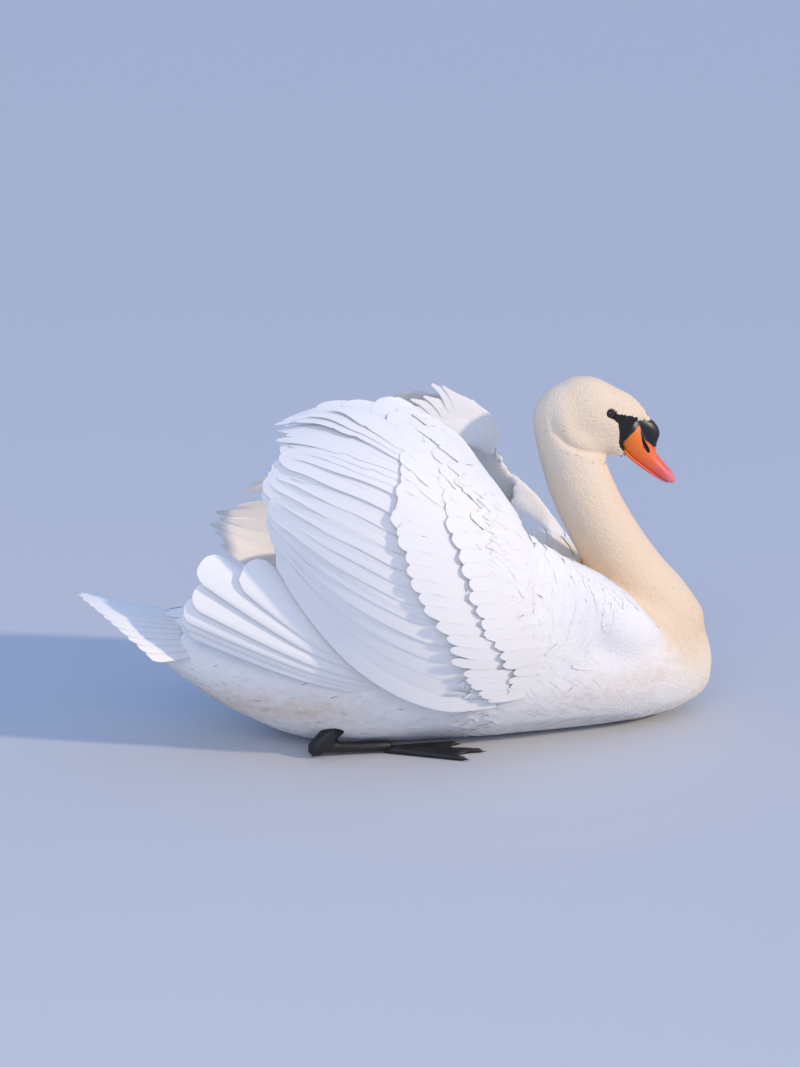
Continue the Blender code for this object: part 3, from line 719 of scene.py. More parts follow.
def vanes(
    name, centres, normals, half_width, tip, material, shapes, roots, thickness, arch, rachis=0.0, press=None
):
    """Closed feathers along centre lines of the same number of rows, all in one mesh.

    centres and normals are (feathers, rows, 3), half_width and tip (how far the tip is rounded) one
    number a feather, and roots the places of the feathers on the unwrapped skin. press moves the
    upper faces' points on to a surface and gives the directions out of it.
    """
    count, rows = centres.shape[:2]
    a, b = shapes[0][:2]
    columns = len(b)
    pick = np.arange(count) % len(shapes)
    wide = np.stack([shape[2] for shape in shapes])[pick] * half_width[:, None, None]
    back = np.stack([shape[3] for shape in shapes])[pick] * tip[:, None, None] * (a**3)[None, :, None]
    forth = unit(np.gradient(centres, axis=1))
    sideways = unit(np.cross(normals, forth))
    up = np.cross(forth, sideways)
    rise = -arch * half_width[:, None, None] * (b**2)[None, None, :] * np.ones((1, rows, 1))
    rise = rise + rachis * np.exp(-((b / 0.12) ** 2))[None, None, :] * (1 - 0.7 * a)[None, :, None]
    top = centres[:, :, None, :] + sideways[:, :, None, :] * wide[..., None]
    top = top - forth[:, :, None, :] * back[..., None] + up[:, :, None, :] * rise[..., None]
    out = up[:, :, None, :] + np.zeros_like(top)
    if press:
        top, out = press(top)
    # the under face has no rim of its own: it hangs from the upper face's edge
    inner = top[:, 1:-1, 1:-1, :] - out[:, 1:-1, 1:-1, :] * thickness
    base, depth = rows * columns, (rows - 2) * (columns - 2)
    each = base + depth
    grid = np.arange(base).reshape(rows, columns)
    under = grid.copy()
    under[1:-1, 1:-1] = base + np.arange(depth).reshape(rows - 2, columns - 2)
    faces = np.concatenate([quads(grid)[:, ::-1], quads(under)])
    points = np.concatenate([top.reshape(count, -1, 3), inner.reshape(count, -1, 3)], 1).reshape(-1, 3)
    obj = build(name, points, (faces[None] + (np.arange(count) * each)[:, None, None]).reshape(-1, 4), material)
    mesh = obj.data
    # the two faces of a vane meet in a crisp edge, not a rounded one
    mesh.set_sharp_from_angle(angle=math.radians(60))
    length = np.linalg.norm(np.diff(centres, axis=1), axis=2).sum(axis=1)
    at = np.stack(grid_of(a, b), -1)
    own = np.concatenate([at.reshape(-1, 2), at[1:-1, 1:-1].reshape(-1, 2)])
    corner = np.zeros(len(mesh.loops), np.int32)
    mesh.loops.foreach_get("vertex_index", corner)
    feather, spot = corner // each, corner % each
    # each feather's patch on the unwrapped skin is 3 mm of it across
    for layer, where in (
        ("Vane", np.stack([own[spot, 1] * half_width[feather], own[spot, 0] * length[feather]], -1)),
        ("OFBake", roots[feather] + np.stack([own[spot, 1] * 0.0015, (own[spot, 0] - 0.5) * 0.003], -1)),
    ):
        mesh.uv_layers.new(name=layer).data.foreach_set("uv", where.astype(np.float32).ravel())
    # in blocks, to save memory
    stained = np.concatenate([cream(points[k : k + 20000]) for k in range(0, len(points), 20000)])
    paint(obj, cream=stained, rust=rust(points))
    print(f"{name}: {count} feathers, {2 * len(mesh.polygons)} triangles")
    return obj


# %% [markdown]
# ## Flight feathers
#
# A folded wing is a fan: each feather lies over the next one down, with its lower edge standing off like
# a roof slate's. So every feather keeps to one line of the wing's sheet and is rolled a few degrees about
# its shaft. The secondaries are the broad ones, the primaries the narrow, pointed ones below and behind.


# %% Feathers along a wing's sheet
def column(value, like):
    """One number a feather, from one for each or one for all."""
    return np.broadcast_to(np.asarray(value, float), like.shape)[:, None]


def fan(sheet, side, s, start, end, rows, toward, roll, lift=0.0, curl=0.0, sink=0.0, slant=0.0):
    """Centre lines and normals of feathers along the lines s of a sheet, from start to end.

    toward is -1 on the sheet's inner side, roll turns each about its shaft so that its lower edge
    stands out, lift raises its tip off the sheet, curl bends the last part of it outwards, sink
    buries its root, and slant brings its root in from a lower line.
    """
    a = np.linspace(0, 1, rows)[None, :]
    t = start[:, None] + (end - start)[:, None] * a
    lines = np.maximum(s[:, None] - column(slant, s) * (1 - a) ** 2, s[:, None] * 0.3)
    centre = on_sheet(sheet, lines, t)
    forth, out = sheet_axes(sheet, lines, t)
    out = out * toward
    rise = column(lift, s) * a + column(curl, s) * a**4 - sink * (1 - a) ** 2
    centre = centre + out * rise[..., None]
    down = unit(np.cross(out, forth)) * toward
    roll = column(roll, s)[..., None]
    centre, facing = on_side(side, centre, out * np.cos(roll) + down * np.sin(roll))
    if toward < 0:
        _, out = sheet_axes(sheet, s[:, None] * np.ones((1, rows)), t)
        inner_face = np.maximum(wing_flesh(np.clip(t, 0, ARM_REACH)) - 0.002, 0.0035)
        centre = centre - on_side(side, out)[0] * inner_face[..., None]
    return centre, facing


def sheet_roots(side, s, t):
    """Places on the unwrapped wing: one quarter of the map for each wing."""
    u = 0.02 + 0.46 * np.clip(s, 0, 1) + (0.5 if side == "left" else 0.0)
    return np.stack([u, np.clip(0.02 + 0.2 * t, 0.01, 0.99)], -1)


def sheet_feathers(tract, side, rows_of, shapes, sheets=WING, toward=1.0, point=0.9, least=0.0, **form):
    """One mesh of feathers on a wing's sheet, from rows of (s, start, end, half width, settings).

    point says how far the tips are rounded, in half widths, and least is the least of that in metres.
    """
    groups = []
    for *numbers, settings in rows_of:
        s, start, end, half = np.broadcast_arrays(*(np.asarray(v, float) for v in numbers))
        centres, facing = fan(sheets[side], side, s, start, end, len(shapes[0][0]), toward, **settings)
        groups.append((centres, facing, half, sheet_roots(side, s, np.clip(end, 0, 1))))
    centres, facing, half, roots = (np.concatenate(group) for group in zip(*groups))
    flight = tract in ("primaries", "secondaries", "tertials")
    tip, material = np.maximum(half * point, least), FLIGHT if flight else CONTOUR
    made = vanes(f"{tract}_{side}", centres, facing, half, tip, material, shapes, roots, **form)
    if flight:
        place_piece(made, "white_flight_feathers", f"wing_{side}_{tract}")
    else:
        place_piece(made, "white_plumage")


def shares(count, low, high, crowd=1.0):
    """Places across the sheet, crowded together towards its lower edge where crowd is above 1."""
    return low + (high - low) * np.linspace(0, 1, count) ** crowd


def vary(count, middle, spread):
    return middle + spread * rng.uniform(-1, 1, count)


# share of each feather line at which the tips of the greater and median coverts lie
GREATER = (
    (0, 0.05, 0.125, 0.18, 0.24, 0.295, 0.355, 0.425, 0.565, 0.745, 0.9),
    (0.05, 0.09, 0.215, 0.305, 0.355, 0.43, 0.485, 0.515, 0.57, 0.545, 0.50),
)
MEDIAN = (
    (0.06, 0.155, 0.225, 0.285, 0.345, 0.405, 0.475, 0.55, 0.62, 0.8),
    (0.0, 0.055, 0.15, 0.215, 0.255, 0.285, 0.315, 0.345, 0.385, 0.37),
)

for side in SIDES:
    near = side == "right"
    # primaries: narrow feathers, each standing well off the next one down
    s = shares(7, 0.0, 1.0, 1.15)
    end = vary(7, 0.985 if near else 0.84, 0.004) + 0.085 * np.exp(-(((s - 0.79) / 0.12) ** 2)) * near
    rows = [(s, 0.10, end, np.linspace(0.0150, 0.0290, 7), dict(roll=0.32, curl=0.003))]
    sheet_feathers("primaries", side, rows, blunt_vanes, HAND, thickness=0.0009, arch=0.14, rachis=0.0009)
    # secondaries: broad, overlapping by half, crowded together towards the bottom
    s = shares(14, 0.0, 0.765, 1.15)
    half = np.interp(s, (0, 0.2, 0.5, 0.77), (0.020, 0.026, 0.029, 0.030)) * (1.0 if near else 0.85)
    end = vary(14, 0.985, 0.016)
    if not near:
        # this wing is held looser, so its tips part in two bunches
        end = end - 0.14 * np.exp(-(((s - 0.43) / 0.05) ** 2)) - 0.08 * smooth(0.58, 0.64, s)
    start = np.maximum(np.interp(s, *GREATER) - 0.16, 0.02)
    slant = 0.10 * smooth(0.2, 0.7, s)
    rows = [(s, start, end, half, dict(roll=0.015, lift=0.001, curl=vary(14, 0.003, 0.002), slant=slant))]
    vane_shapes, point = (long_vanes, 1.1) if near else (pointed_vanes, 1.9)
    sheet_feathers(
        "secondaries", side, rows, vane_shapes, point=point, thickness=0.0004, arch=0.01, rachis=0.0003
    )
    # tertials: two loose bunches at the top, the lower one lifted clear
    low, high = shares(5, 0.75, 0.86), shares(6, 0.87, 0.965)
    rows = []
    for s, start, middle, spread, half, roll, lift, curl, uneven_curl in (
        (high, 0.22, 1.01, 0.03, 0.0165, 0.10, 0.001, 0.002, 0.004),
        (low, 0.24, 0.985, 0.030, 0.0210, 0.03, 0.003, 0.004, 0.003),
    ):
        end, bent = vary(len(s), middle, spread), vary(len(s), curl, uneven_curl)
        rows.append((s, start, end, half, dict(roll=roll, lift=lift, curl=bent, slant=0.10)))
    settings = dict(roll=0.10, lift=(0.013, 0.015, 0.017), slant=0.14)
    rows.append(((0.885, 0.900, 0.915), 0.40, (0.94, 0.89, 0.80), 0.0190, settings))
    sheet_feathers("tertials", side, rows, pointed_vanes, point=1.7, thickness=0.0007, arch=0.06, rachis=0.0006)


# %% Wing coverts, outside and underneath
# where each row's tips lie, the lowest line it has, or its feathers' length, how many they are, and half width
SCAPULAR_ROWS = (
    (0.86, 0.92, 3), (0.70, 0.90, 3), (0.54, 0.84, 4), (0.40, 0.80, 5), (0.28, 0.78, 5), (0.17, 0.78, 5),
)
UNDERWING_ROWS = ((0.18, 0.18, 18, 0.018), (0.34, 0.26, 16, 0.020), (0.52, 0.34, 14, 0.026))


def covert_row(count, low, high, crowd, unevenness, line, back, middle, spread):
    """Feather lines of one row of coverts, and how far along them its tips lie, a little out of true."""
    s = np.clip(shares(count, low, high, crowd) + vary(count, 0, unevenness), 0, 1)
    return s, np.interp(s, *line) - back + vary(count, middle, spread)


def band(s, end, length, half, first=-1.0, **settings):
    return s, np.maximum(end - length, first), end, half, settings


for side in SIDES:
    near = side == "right"
    # greater coverts: broad lobes that stand off and shade the secondaries
    s, end = covert_row(27, 0.04, 0.92, 1.4, 0.006, GREATER, 0, 0, 0.013)
    half = np.interp(s, (0, 0.2, 0.4, 0.6, 1), (0.0070, 0.0095, 0.014, 0.022, 0.027))
    lift = np.interp(s, (0, 0.15, 0.45, 0.7, 1), (0.007, 0.013, 0.013, 0.0060, 0.003))
    slant = smooth(0.3, 0.7, s)
    bands = [band(s, end, 0.28, half, roll=0.03, lift=lift, sink=0.002, slant=0.10 * slant)]
    # median coverts: rounder, their tips clear of the row behind
    s, end = covert_row(25, 0.06, 0.93, 1.4, 0.006, MEDIAN, 0, 0.003, 0.013)
    half = np.interp(s, (0, 0.25, 0.5, 1), (0.0075, 0.011, 0.017, 0.023))
    lift = np.interp(s, (0, 0.2, 0.5, 0.7, 1), (0.005, 0.009, 0.0085, 0.0035, 0.002))
    slant = smooth(0.3, 0.7, s)
    bands.append(band(s, end, 0.20, half, roll=0.02, lift=lift, sink=0.002, slant=0.08 * slant))
    # lesser coverts: soft and close, so flat that only faint edges show
    for back in (0.07, 0.14, 0.21):
        s, end = covert_row(15, 0.16, 0.98, 1.1, 0.010, MEDIAN, back, 0, 0.012)
        kept = end > (0.10 if near else 0.27)
        s, end = s[kept], end[kept]
        half, lift = vary(len(s), 0.0215, 0.0025), vary(len(s), 0.0005, 0.0002)
        first, slant = 0.0 if near else 0.14, smooth(0.3, 0.7, s)
        bands.append(band(s, end, 0.22, half, first, roll=0.004, lift=lift, sink=0.003, slant=0.06 * slant))
    sheet_feathers("coverts", side, bands, short_vanes, least=0.017, thickness=0.0003, arch=0.01)
    # scapulars: long broad feathers off the shoulder that roof the top of the wing
    bands = []
    # on the far wing the leading edge is left to the small coverts
    for tip, low, count in SCAPULAR_ROWS if near else SCAPULAR_ROWS[:4]:
        s = np.clip(shares(count, low, 0.962) + vary(count, 0, 0.008), 0, 1)
        end = vary(count, tip, 0.030)
        half, lift = vary(count, 0.0235, 0.002), vary(count, 0.0011 if near else 0.0008, 0.0005)
        first = 0.0 if near else 0.12
        bands.append(band(s, end, 0.38, half, first, roll=0.015, lift=lift, sink=0.003, slant=0.12))
    arch = 0.03 if near else 0.16
    sheet_feathers("scapulars", side, bands, short_vanes, thickness=0.0004, arch=arch, rachis=0.0003)
    # under the wing: smooth, long and pale
    bands = []
    for tip, length, count, half in UNDERWING_ROWS:
        start = np.maximum(vary(count, tip - length, 0.004), 0.055)
        settings = dict(roll=0.02, lift=0.0008, sink=0.0015)
        bands.append((shares(count, 0.0, 1.0), start, vary(count, tip, 0.01), half, settings))
    sheet_feathers("underwing_coverts", side, bands, short_vanes, toward=-1.0, thickness=0.0004, arch=0.01)

# %% Loose feathers that stand up at the shoulder of the far wing
roots = np.linspace((0.126, 0.066, 0.404), (0.150, 0.082, 0.380), 9)
tips = np.array((
    (0.020, 0.058, 0.460), (0.028, 0.060, 0.471), (0.046, 0.062, 0.475), (0.058, 0.064, 0.492),
    (0.076, 0.066, 0.486), (0.086, 0.070, 0.480), (0.110, 0.076, 0.468), (0.122, 0.080, 0.462),
    (0.136, 0.086, 0.450),
))
a = np.linspace(0, 1, 24)[None, :, None]
middle = (roots + tips) / 2 + np.array((0.012, 0.004, 0.010))
centres = roots[:, None] * (1 - a) ** 2 + middle[:, None] * 2 * a * (1 - a) + tips[:, None] * a * a
way, inwards = unit(np.gradient(centres, axis=1)), np.array((0.0, -1.0, 0.35))
facing = unit(inwards - way * (way @ inwards)[..., None])
half = np.linspace(0.019, 0.014, 9)
spots = np.stack([0.52 + 0.04 * np.arange(9) / 9, np.full(9, 0.3)], -1)
made = vanes(
    "loose_scapulars", centres, facing, half, half * 2.2, FLIGHT, pointed_vanes, spots,
    thickness=0.0007, arch=0.05, rachis=0.0005,
)
place_piece(made, "white_plumage")

# %% Tail feathers
TAIL_ROOT = np.array((-0.260, 0.0, 0.160))
TAIL_LENGTH, TAIL_RISE, TAIL_SPREAD = 0.206, math.radians(15.0), math.radians(56.0)


def tail_point(turn, share):
    """A point of the tail's fan: turn runs from -1 on the right to 1 on the left."""
    length = TAIL_LENGTH * (1 - 0.34 * np.abs(turn) ** 1.3)
    angle, reach = turn * TAIL_SPREAD / 2, 0.035 + length * share
    x = 0.035 - reach * np.cos(angle) * math.cos(TAIL_RISE)
    z = reach * math.sin(TAIL_RISE) - 0.050 * turn * turn * (0.4 + 0.6 * share)
    return TAIL_ROOT + np.stack([x, reach * np.sin(angle) * 1.15, z], -1)


def tail_spots(turn, line):
    return np.stack([0.3 + 0.4 * (turn + 1) / 2, np.full(len(turn), line)], -1)


turn = np.linspace(-0.95, 0.95, 19)
turns, share = grid_of(turn, np.linspace(0, 1, 24))
centres = tail_point(turns, share)
# the middle pair lies on top, and each pair outwards lies under the last
order = 0.0016 * (1 - np.abs(turn)) * 3
centres[..., 2] += order[:, None] * (1 - 0.5 * share) + 0.002
across = unit(tail_point(turns + 0.02, share) - tail_point(turns - 0.02, share))
facing = np.cross(across, unit(np.gradient(centres, axis=1)))
facing = unit(facing * np.sign(facing[..., 2:3]) + across * (-0.10 * turn[:, None, None]))
half = np.full(len(turn), 0.0165)
made = vanes(
    "tail_feathers", centres, facing, half, half * 1.3, FLIGHT, blunt_vanes, tail_spots(turn, 0.47),
    thickness=0.0009, arch=0.08, rachis=0.0009,
)
place_piece(made, "white_flight_feathers", "tail")


# %% Tail coverts, above and below
def above_tail(turns, u, start, end, layer):
    """Over the rump they keep to the coat's height, and from there they run down on to the fan."""
    tip = tail_point(turns, end + vary(len(u), 0, 0.02)[:, None] * np.ones((1, 12)))
    root = np.stack([start + 0 * turns, turns * 0.060, tip[..., 2]], -1)
    line = root + (tip - root) * u[..., None]
    down = Vector((0, 0, -1))
    hits = [skin_tree.ray_cast(Vector((x, y, 0.26)), down)[0] for x, y, _ in line.reshape(-1, 3)]
    top = np.array([hit.z if hit else -1.0 for hit in hits]).reshape(u.shape)
    height = np.maximum(top + 0.0005 + 0.0065 * smooth(0, 0.45, u), line[..., 2] + 0.0055)
    for _ in range(4):
        height[:, 1:-1] = (height[:, :-2] + 2 * height[:, 1:-1] + height[:, 2:]) / 4
    line[..., 2] = height + 0.0010 * layer * smooth(0, 0.4, u)
    return line


def below_tail(turns, u, start, end, layer):
    """Long soft ones that fill the hollow under the fan."""
    share = start + (end - start) * u + vary(len(u), 0, 0.02)[:, None]
    on_fan = np.maximum(share, 0.0)
    line = tail_point(turns, on_fan)
    forth = unit(tail_point(turns, on_fan + 0.02) - line)
    line = line + forth * (np.minimum(share, 0.0) * TAIL_LENGTH)[..., None]
    filling = 0.045 * (1 - turns**2) * (0.4 + 0.6 * on_fan) * (1 - smooth(0.15, 0.72, share))
    line[..., 2] -= 0.0030 + 0.0012 * layer + filling
    return line


# where each row starts and ends, and how many feathers it has
UPPER_ROWS = ((-0.232, 0.40, 13), (-0.212, 0.24, 12), (-0.190, 0.10, 11), (-0.168, -0.02, 10))
UNDER_ROWS = ((0.10, 0.70, 13), (0.00, 0.56, 12), (-0.10, 0.42, 11))
for name, rows_of, lines_of, out_of in (
    ("uppertail_coverts", UPPER_ROWS, above_tail, 1.0), ("undertail_coverts", UNDER_ROWS, below_tail, -1.0)
):
    groups = []
    for layer, (start, end, count) in enumerate(rows_of):
        turn = np.linspace(-0.95, 0.95, count) + vary(count, 0, 0.02)
        turns, u = grid_of(turn, np.linspace(0, 1, 12))
        line = lines_of(turns, u, start, end, layer)
        out = np.cross(unit(np.gradient(line, axis=0)), unit(np.gradient(line, axis=1)))
        out = out * np.sign(out[..., 2:3]) * out_of
        row = 0.44 - 0.01 * layer - 0.03 * (out_of < 0)
        groups.append((line, out, np.full(count, 0.0170), tail_spots(turn, row)))
    centres, facing, half, roots = (np.concatenate(group) for group in zip(*groups))
    form = dict(thickness=0.0004, arch=0.06, rachis=0.0002)
    made = vanes(name, centres, facing, half, half * 1.2, CONTOUR, short_vanes, roots, **form)
    place_piece(made, "white_plumage")

# %% [markdown]
# ## Body feathers
#
# Contour feathers grow in tracts, each about as far from its neighbours as the next, and all lie along
# the body's flow: down the neck, back over the breast and flanks, and off the rump. Points are scattered
# so that none come closer than the local spacing, and a feather is laid at each from the skin out to the
# coat's surface, a third to a quarter of its length showing.


# %% Scatter points evenly
def scatter(density, spacing_at, keep):
    """Points on the skin no closer than spacing_at says, where keep is true."""
    skin.data.calc_loop_triangles()
    corners = skin_points[np.array([t.vertices[:] for t in skin.data.loop_triangles])]
    corners = corners[keep(corners.mean(axis=1))]
    ab, ac = corners[:, 1] - corners[:, 0], corners[:, 2] - corners[:, 0]
    area = np.linalg.norm(np.cross(ab, ac), axis=1) / 2
    total = int(area.sum() * density)
    pick = rng.choice(len(corners), total, p=area / area.sum())
    u, v = rng.random(total), rng.random(total)
    over = u + v > 1
    u[over], v[over] = 1 - u[over], 1 - v[over]
    points = corners[pick, 0] + u[:, None] * ab[pick] + v[:, None] * ac[pick]
    spacing = spacing_at(points) * COARSE
    cells = np.floor(points / spacing.max()).astype(int).tolist()
    around = [(i, j, k) for i in (-1, 0, 1) for j in (-1, 0, 1) for k in (-1, 0, 1)]
    taken, kept = {}, []
    listed = zip(points.tolist(), (spacing**2).tolist(), cells)
    for index, ((x, y, z), gap, (cx, cy, cz)) in enumerate(listed):
        close = (other for i, j, k in around for other in taken.get((cx + i, cy + j, cz + k), ()))
        if all((ox - x) ** 2 + (oy - y) ** 2 + (oz - z) ** 2 >= gap for ox, oy, oz in close):
            taken.setdefault((cx, cy, cz), []).append((x, y, z))
            kept.append(index)
    return points[kept]


def tree_over(points):
    tree = KDTree(len(points))
    for k, point in enumerate(points):
        tree.insert(point, k)
    tree.balance()
    return tree


def on_both(values):
    return np.concatenate([on_side(side, values(WING[side]).reshape(-1, 3))[0] for side in SIDES])


s, t = grid_of(np.linspace(0, 1, 50), np.linspace(0, 0.5, 50))
sheet_points = on_both(lambda sheet: on_sheet(sheet, s, t))
sheet_lines, sheet_out = (on_both(lambda sheet: sheet_axes(sheet, s, t)[k]) for k in (0, 1))
sheet_share = np.concatenate([t.ravel()] * 2)
sheet_tree = tree_over(sheet_points)


def flow(points, normals):
    """Which way the plumage lies: back from the bill, down the neck, back along the body."""
    share, off = neck_share(points)
    down = neck_down[np.clip((share * 120).astype(int), 0, 120)]
    down = np.stack([down[:, 0], np.zeros(len(down)), down[:, 1]], -1)
    on_neck = np.maximum((1 - smooth(0.07, 0.11, off)) * smooth(0.10, 0.35, share), 0)[:, None]
    on_head = head_weight(points)[:, None]
    front = smooth(0.34, 0.455, points[:, 0])[:, None]
    body = np.array((-1.0, 0.0, 0.0)) * (1 - 0.35 * front) + np.array((0.0, 0.0, -1.1)) * front
    # over the shoulder it turns down towards the flank
    over = (smooth(0.10, 0.24, points[:, 2]) * smooth(0.06, 0.2, points[:, 0]))[:, None]
    body = body * (1 - 0.6 * over) + np.array((0.0, 0.0, -1.0)) * over
    way = body * (1 - on_neck) + down * 1.4 * on_neck
    way = way * (1 - on_head) + (-head_forth - 0.25 * head_up) * on_head
    # on a wing it follows the wing's own feathers
    _, nearest, away = zip(*(sheet_tree.find(point) for point in points))
    nearest = list(nearest)
    on_wing = (1 - smooth(0.010, 0.020, away)) * smooth(0.05, 0.12, sheet_share[nearest])
    on_wing = on_wing[:, None] * (1 - on_head)
    way = way * (1 - on_wing) + sheet_lines[nearest] * on_wing
    return unit(way - normals * (way * normals).sum(axis=1, keepdims=True))


def unwrap_place(points):
    """A place on the unwrapped body: along it from tail to bill, and round it."""
    share, _ = neck_share(points)
    x, y, z = points.T
    round_body = 0.5 + np.arctan2(y, z - 0.12) / (2 * math.pi) * 0.9
    round_neck = 0.5 + np.arctan2(y, x - along(NECK_LINE, share)[:, 0]) / (2 * math.pi) * 0.9
    along_neck = 0.58 + 0.3 * share + np.clip(in_head(points)[0] + 0.12, 0, 0.14) * 0.6
    on_body = np.stack([0.05 + 0.5 * (x + 0.46) / 0.92, round_body], -1)
    return np.where(neck_weight(points)[:, None] > 0.5, np.stack([along_neck, round_neck], -1), on_body)


def lay(
    name, points, length, slim, shapes, material, proud, swerve=0.12, sunk=0.85, bow=0.0, swell=0.0, **form
):
    """Feathers lying on the body from these root points, their tips proud of the coat's surface.

    slim is half width over length, swerve how unevenly they lie, sunk how deep their roots start, as a
    share of the coat, and bow bends them towards the tail on both sides. swell raises the middle of
    each, so that its edges are buried in its neighbours.
    """
    half = length * slim
    rows, columns = shapes[0][2].shape
    _, normals = on_skin(points)
    way = flow(points, normals)
    sideways = np.cross(normals, way)
    way = unit(way + sideways * rng.normal(0, swerve, (len(points), 1)))
    depth = coat_depth(points)
    # shorter where the skin ends before a feather's tip, and none where even that won't do
    for _ in range(3):
        aim = points + way * length[:, None]
        landed, landed_normal = on_skin(aim)
        kept = np.linalg.norm(landed - aim, axis=1) < 0.012
        length = np.where(kept, length, length * 0.6)
    found = points, normals, way, sideways, depth, landed, landed_normal, length, half
    points, normals, way, sideways, depth, landed, landed_normal, length, half = (v[kept] for v in found)
    root_lift, coat = depth * sunk, coat_depth(landed)
    root = points + normals * root_lift[:, None]
    tip = landed + landed_normal * (coat + proud * (0.6 + 0.8 * rng.random(len(points))))[:, None]
    a = np.linspace(0, 1, rows)[None, :, None]
    bend = tip - root - way * length[:, None]
    centres = root[:, None] + way[:, None] * length[:, None, None] * a + bend[:, None] * a**2
    centres = centres - (sideways * np.sign(sideways[:, :1]) * (bow * length)[:, None])[:, None] * a**2
    high = np.stack([root_lift, coat + proud * (0.3 + 1.4 * rng.random(len(points)))], 1)

    def on_coat(part):
        """Points laid at the coat's height over the skin, from its root height to that of its tip."""

        def press(top):
            spot, out = (found.reshape(top.shape) for found in on_skin(top.reshape(-1, 3)))
            height = high[part, :1] * (1 - a[0, :, 0]) + high[part, 1:] * a[0, :, 0]
            pillow = swell * np.sin(math.pi * a[0]) * (1 - shapes[0][1] ** 2)[None, :]
            placed = spot + out * (height[:, :, None] + pillow[None])[..., None]
            far = np.linalg.norm(placed - top, axis=-1, keepdims=True) > 0.012
            return np.where(far, top, placed), out

        return press

    facing = unit(normals[:, None] * (1 - a) + landed_normal[:, None] * a)
    facing = unit(facing + np.cross(facing, way[:, None]) * rng.normal(0, 0.04, len(points))[:, None, None])
    # in pieces of under 200,000 triangles, from tail to bill
    parts = max(1, math.ceil(len(points) / (190000 // (4 * (rows - 1) * (columns - 1)))))
    for k, part in enumerate(np.array_split(np.argsort(unwrap_place(points)[:, 0]), parts)):
        label = name if parts == 1 else f"{name}_{k + 1}"
        obj = vanes(
            label, centres[part], facing[part], half[part], half[part] * 0.9, material, shapes,
            unwrap_place(points[part]), press=on_coat(part), **form,
        )
        place_piece(obj, "white_plumage")


def cover(name, density, spacing_at, keep, length_at, slim, shapes, material, **settings):
    """Scatters and lays one tract, each feather a little longer or shorter than length_at says."""
    places = scatter(density, spacing_at, keep)
    length = length_at(places) * (0.85 + 0.3 * rng.random(len(places)))
    lay(name, places, length, slim, shapes, material, **settings)


# %% Trunk: breast, flanks, belly, back and rump
def body_length(points):
    """Short on the breast and neck base, long on flank, back and rump, short again beneath."""
    x, y, z = points.T
    length = 0.034 + 0.022 * (1 - smooth(0.10, 0.42, x))
    length = length + 0.012 * smooth(0.17, 0.24, z) * (1 - smooth(0.15, 0.3, x))
    return length - 0.010 * (1 - smooth(0.0, 0.04, z)) * smooth(-0.25, -0.1, x)


web_tree = tree_over(np.concatenate(webs))


def off_wing(points):
    """Whether each point is on the body's own skin, or on the web and a strip behind the leading edge.

    The rest of a wing's flesh is left to the coverts.
    """
    clear = []
    for point in points:
        gap, web = outer.find_nearest(point)[3], web_tree.find(point)[2]
        _, k, away = sheet_tree.find(point)
        share, outside = sheet_share[k], (np.array(point) - sheet_points[k]) @ sheet_out[k] > -0.006
        on_coverts = share > 0.08 and away < 0.012 and outside
        on_strip = web < 0.007 or (share < (0.13 if point[2] > 0.17 else 0.05) and away < 0.014)
        clear.append((gap < 0.0085 and not on_coverts) or (on_strip and outside))
    return np.array(clear)


def tail_root(points):
    """Where the tail's own coverts roof the rump."""
    return (points[:, 0] < -0.225) & (np.abs(points[:, 1]) < 0.060) & (on_skin(points)[1][:, 2] > 0.1)


def shoulder(points):
    """Where the silky feathers of the shoulder fall over the wing's leading edge."""
    x, y, z = points.T
    front = smooth(0.10, 0.13, x) * smooth(0.050, 0.075, z) * smooth(0.04, 0.07, np.abs(y))
    return (front > 0.5) & (velvet(points) < 0.68)


def outward(points):
    """Whether the skin faces out from the bird's middle, not in towards the back."""
    return on_skin(points)[1][:, 1] * np.sign(points[:, 1]) > -0.1


def on_trunk(points):
    return (velvet(points) < 0.62) & ~shoulder(points) & off_wing(points) & ~tail_root(points)


def on_shoulder(points):
    return shoulder(points) & off_wing(points) & outward(points)


cover(
    "body_feathers", 60000, lambda p: body_length(p) * 0.27, on_trunk, body_length, 0.31,
    variants(10, 40, 6, 7, 0.10, 0.5, 0.45, 0.6), CONTOUR, proud=0.0004, sunk=0.90, thickness=0.0004, arch=0.04,
)
# long, narrow and silky, so that only faint curved lines show
cover(
    "shoulder_feathers", 60000, lambda p: np.full(len(p), 0.0074), on_shoulder,
    lambda p: np.full(len(p), 0.050), 0.24, variants(8, 50, 9, 5, 0.08, 0.4, 0.4, 0.8), CONTOUR,
    proud=0.0006, swerve=0.07, sunk=0.90, bow=0.18, thickness=0.0003, arch=0.02,
)


# %% Breast, neck and head: short velvety feathers, smallest on the face
def tuft_length(points):
    share, _ = neck_share(points)
    neck = neck_weight(points)
    length = 0.0220 - 0.0055 * neck - 0.006 * smooth(0.15, 0.6, share) * neck
    return length - (0.0035 + 0.0015 * smooth(-0.08, -0.03, in_head(points)[0])) * head_weight(points)


def feathered(points):
    ahead, lift = in_head(points)
    on_head = head_weight(points)
    bare = (depth_inside(ahead, lift, LORES) > 0) & (on_head > 0)
    # feathers in front of the eye would lie over it, so they start further off there
    eye = np.hypot((ahead - EYE_BACK - 0.0025) / 1.25, lift - EYE_LIFT) < 0.0094
    brow, chin = (lift > 0.0225) & (ahead < 0.017), lift < -0.034
    chosen = (velvet(points) >= 0.5) & ~bare & ~eye & ((ahead < 0.0) | brow | chin | (on_head < 0.2))
    chosen[chosen] = off_wing(points[chosen])
    return chosen


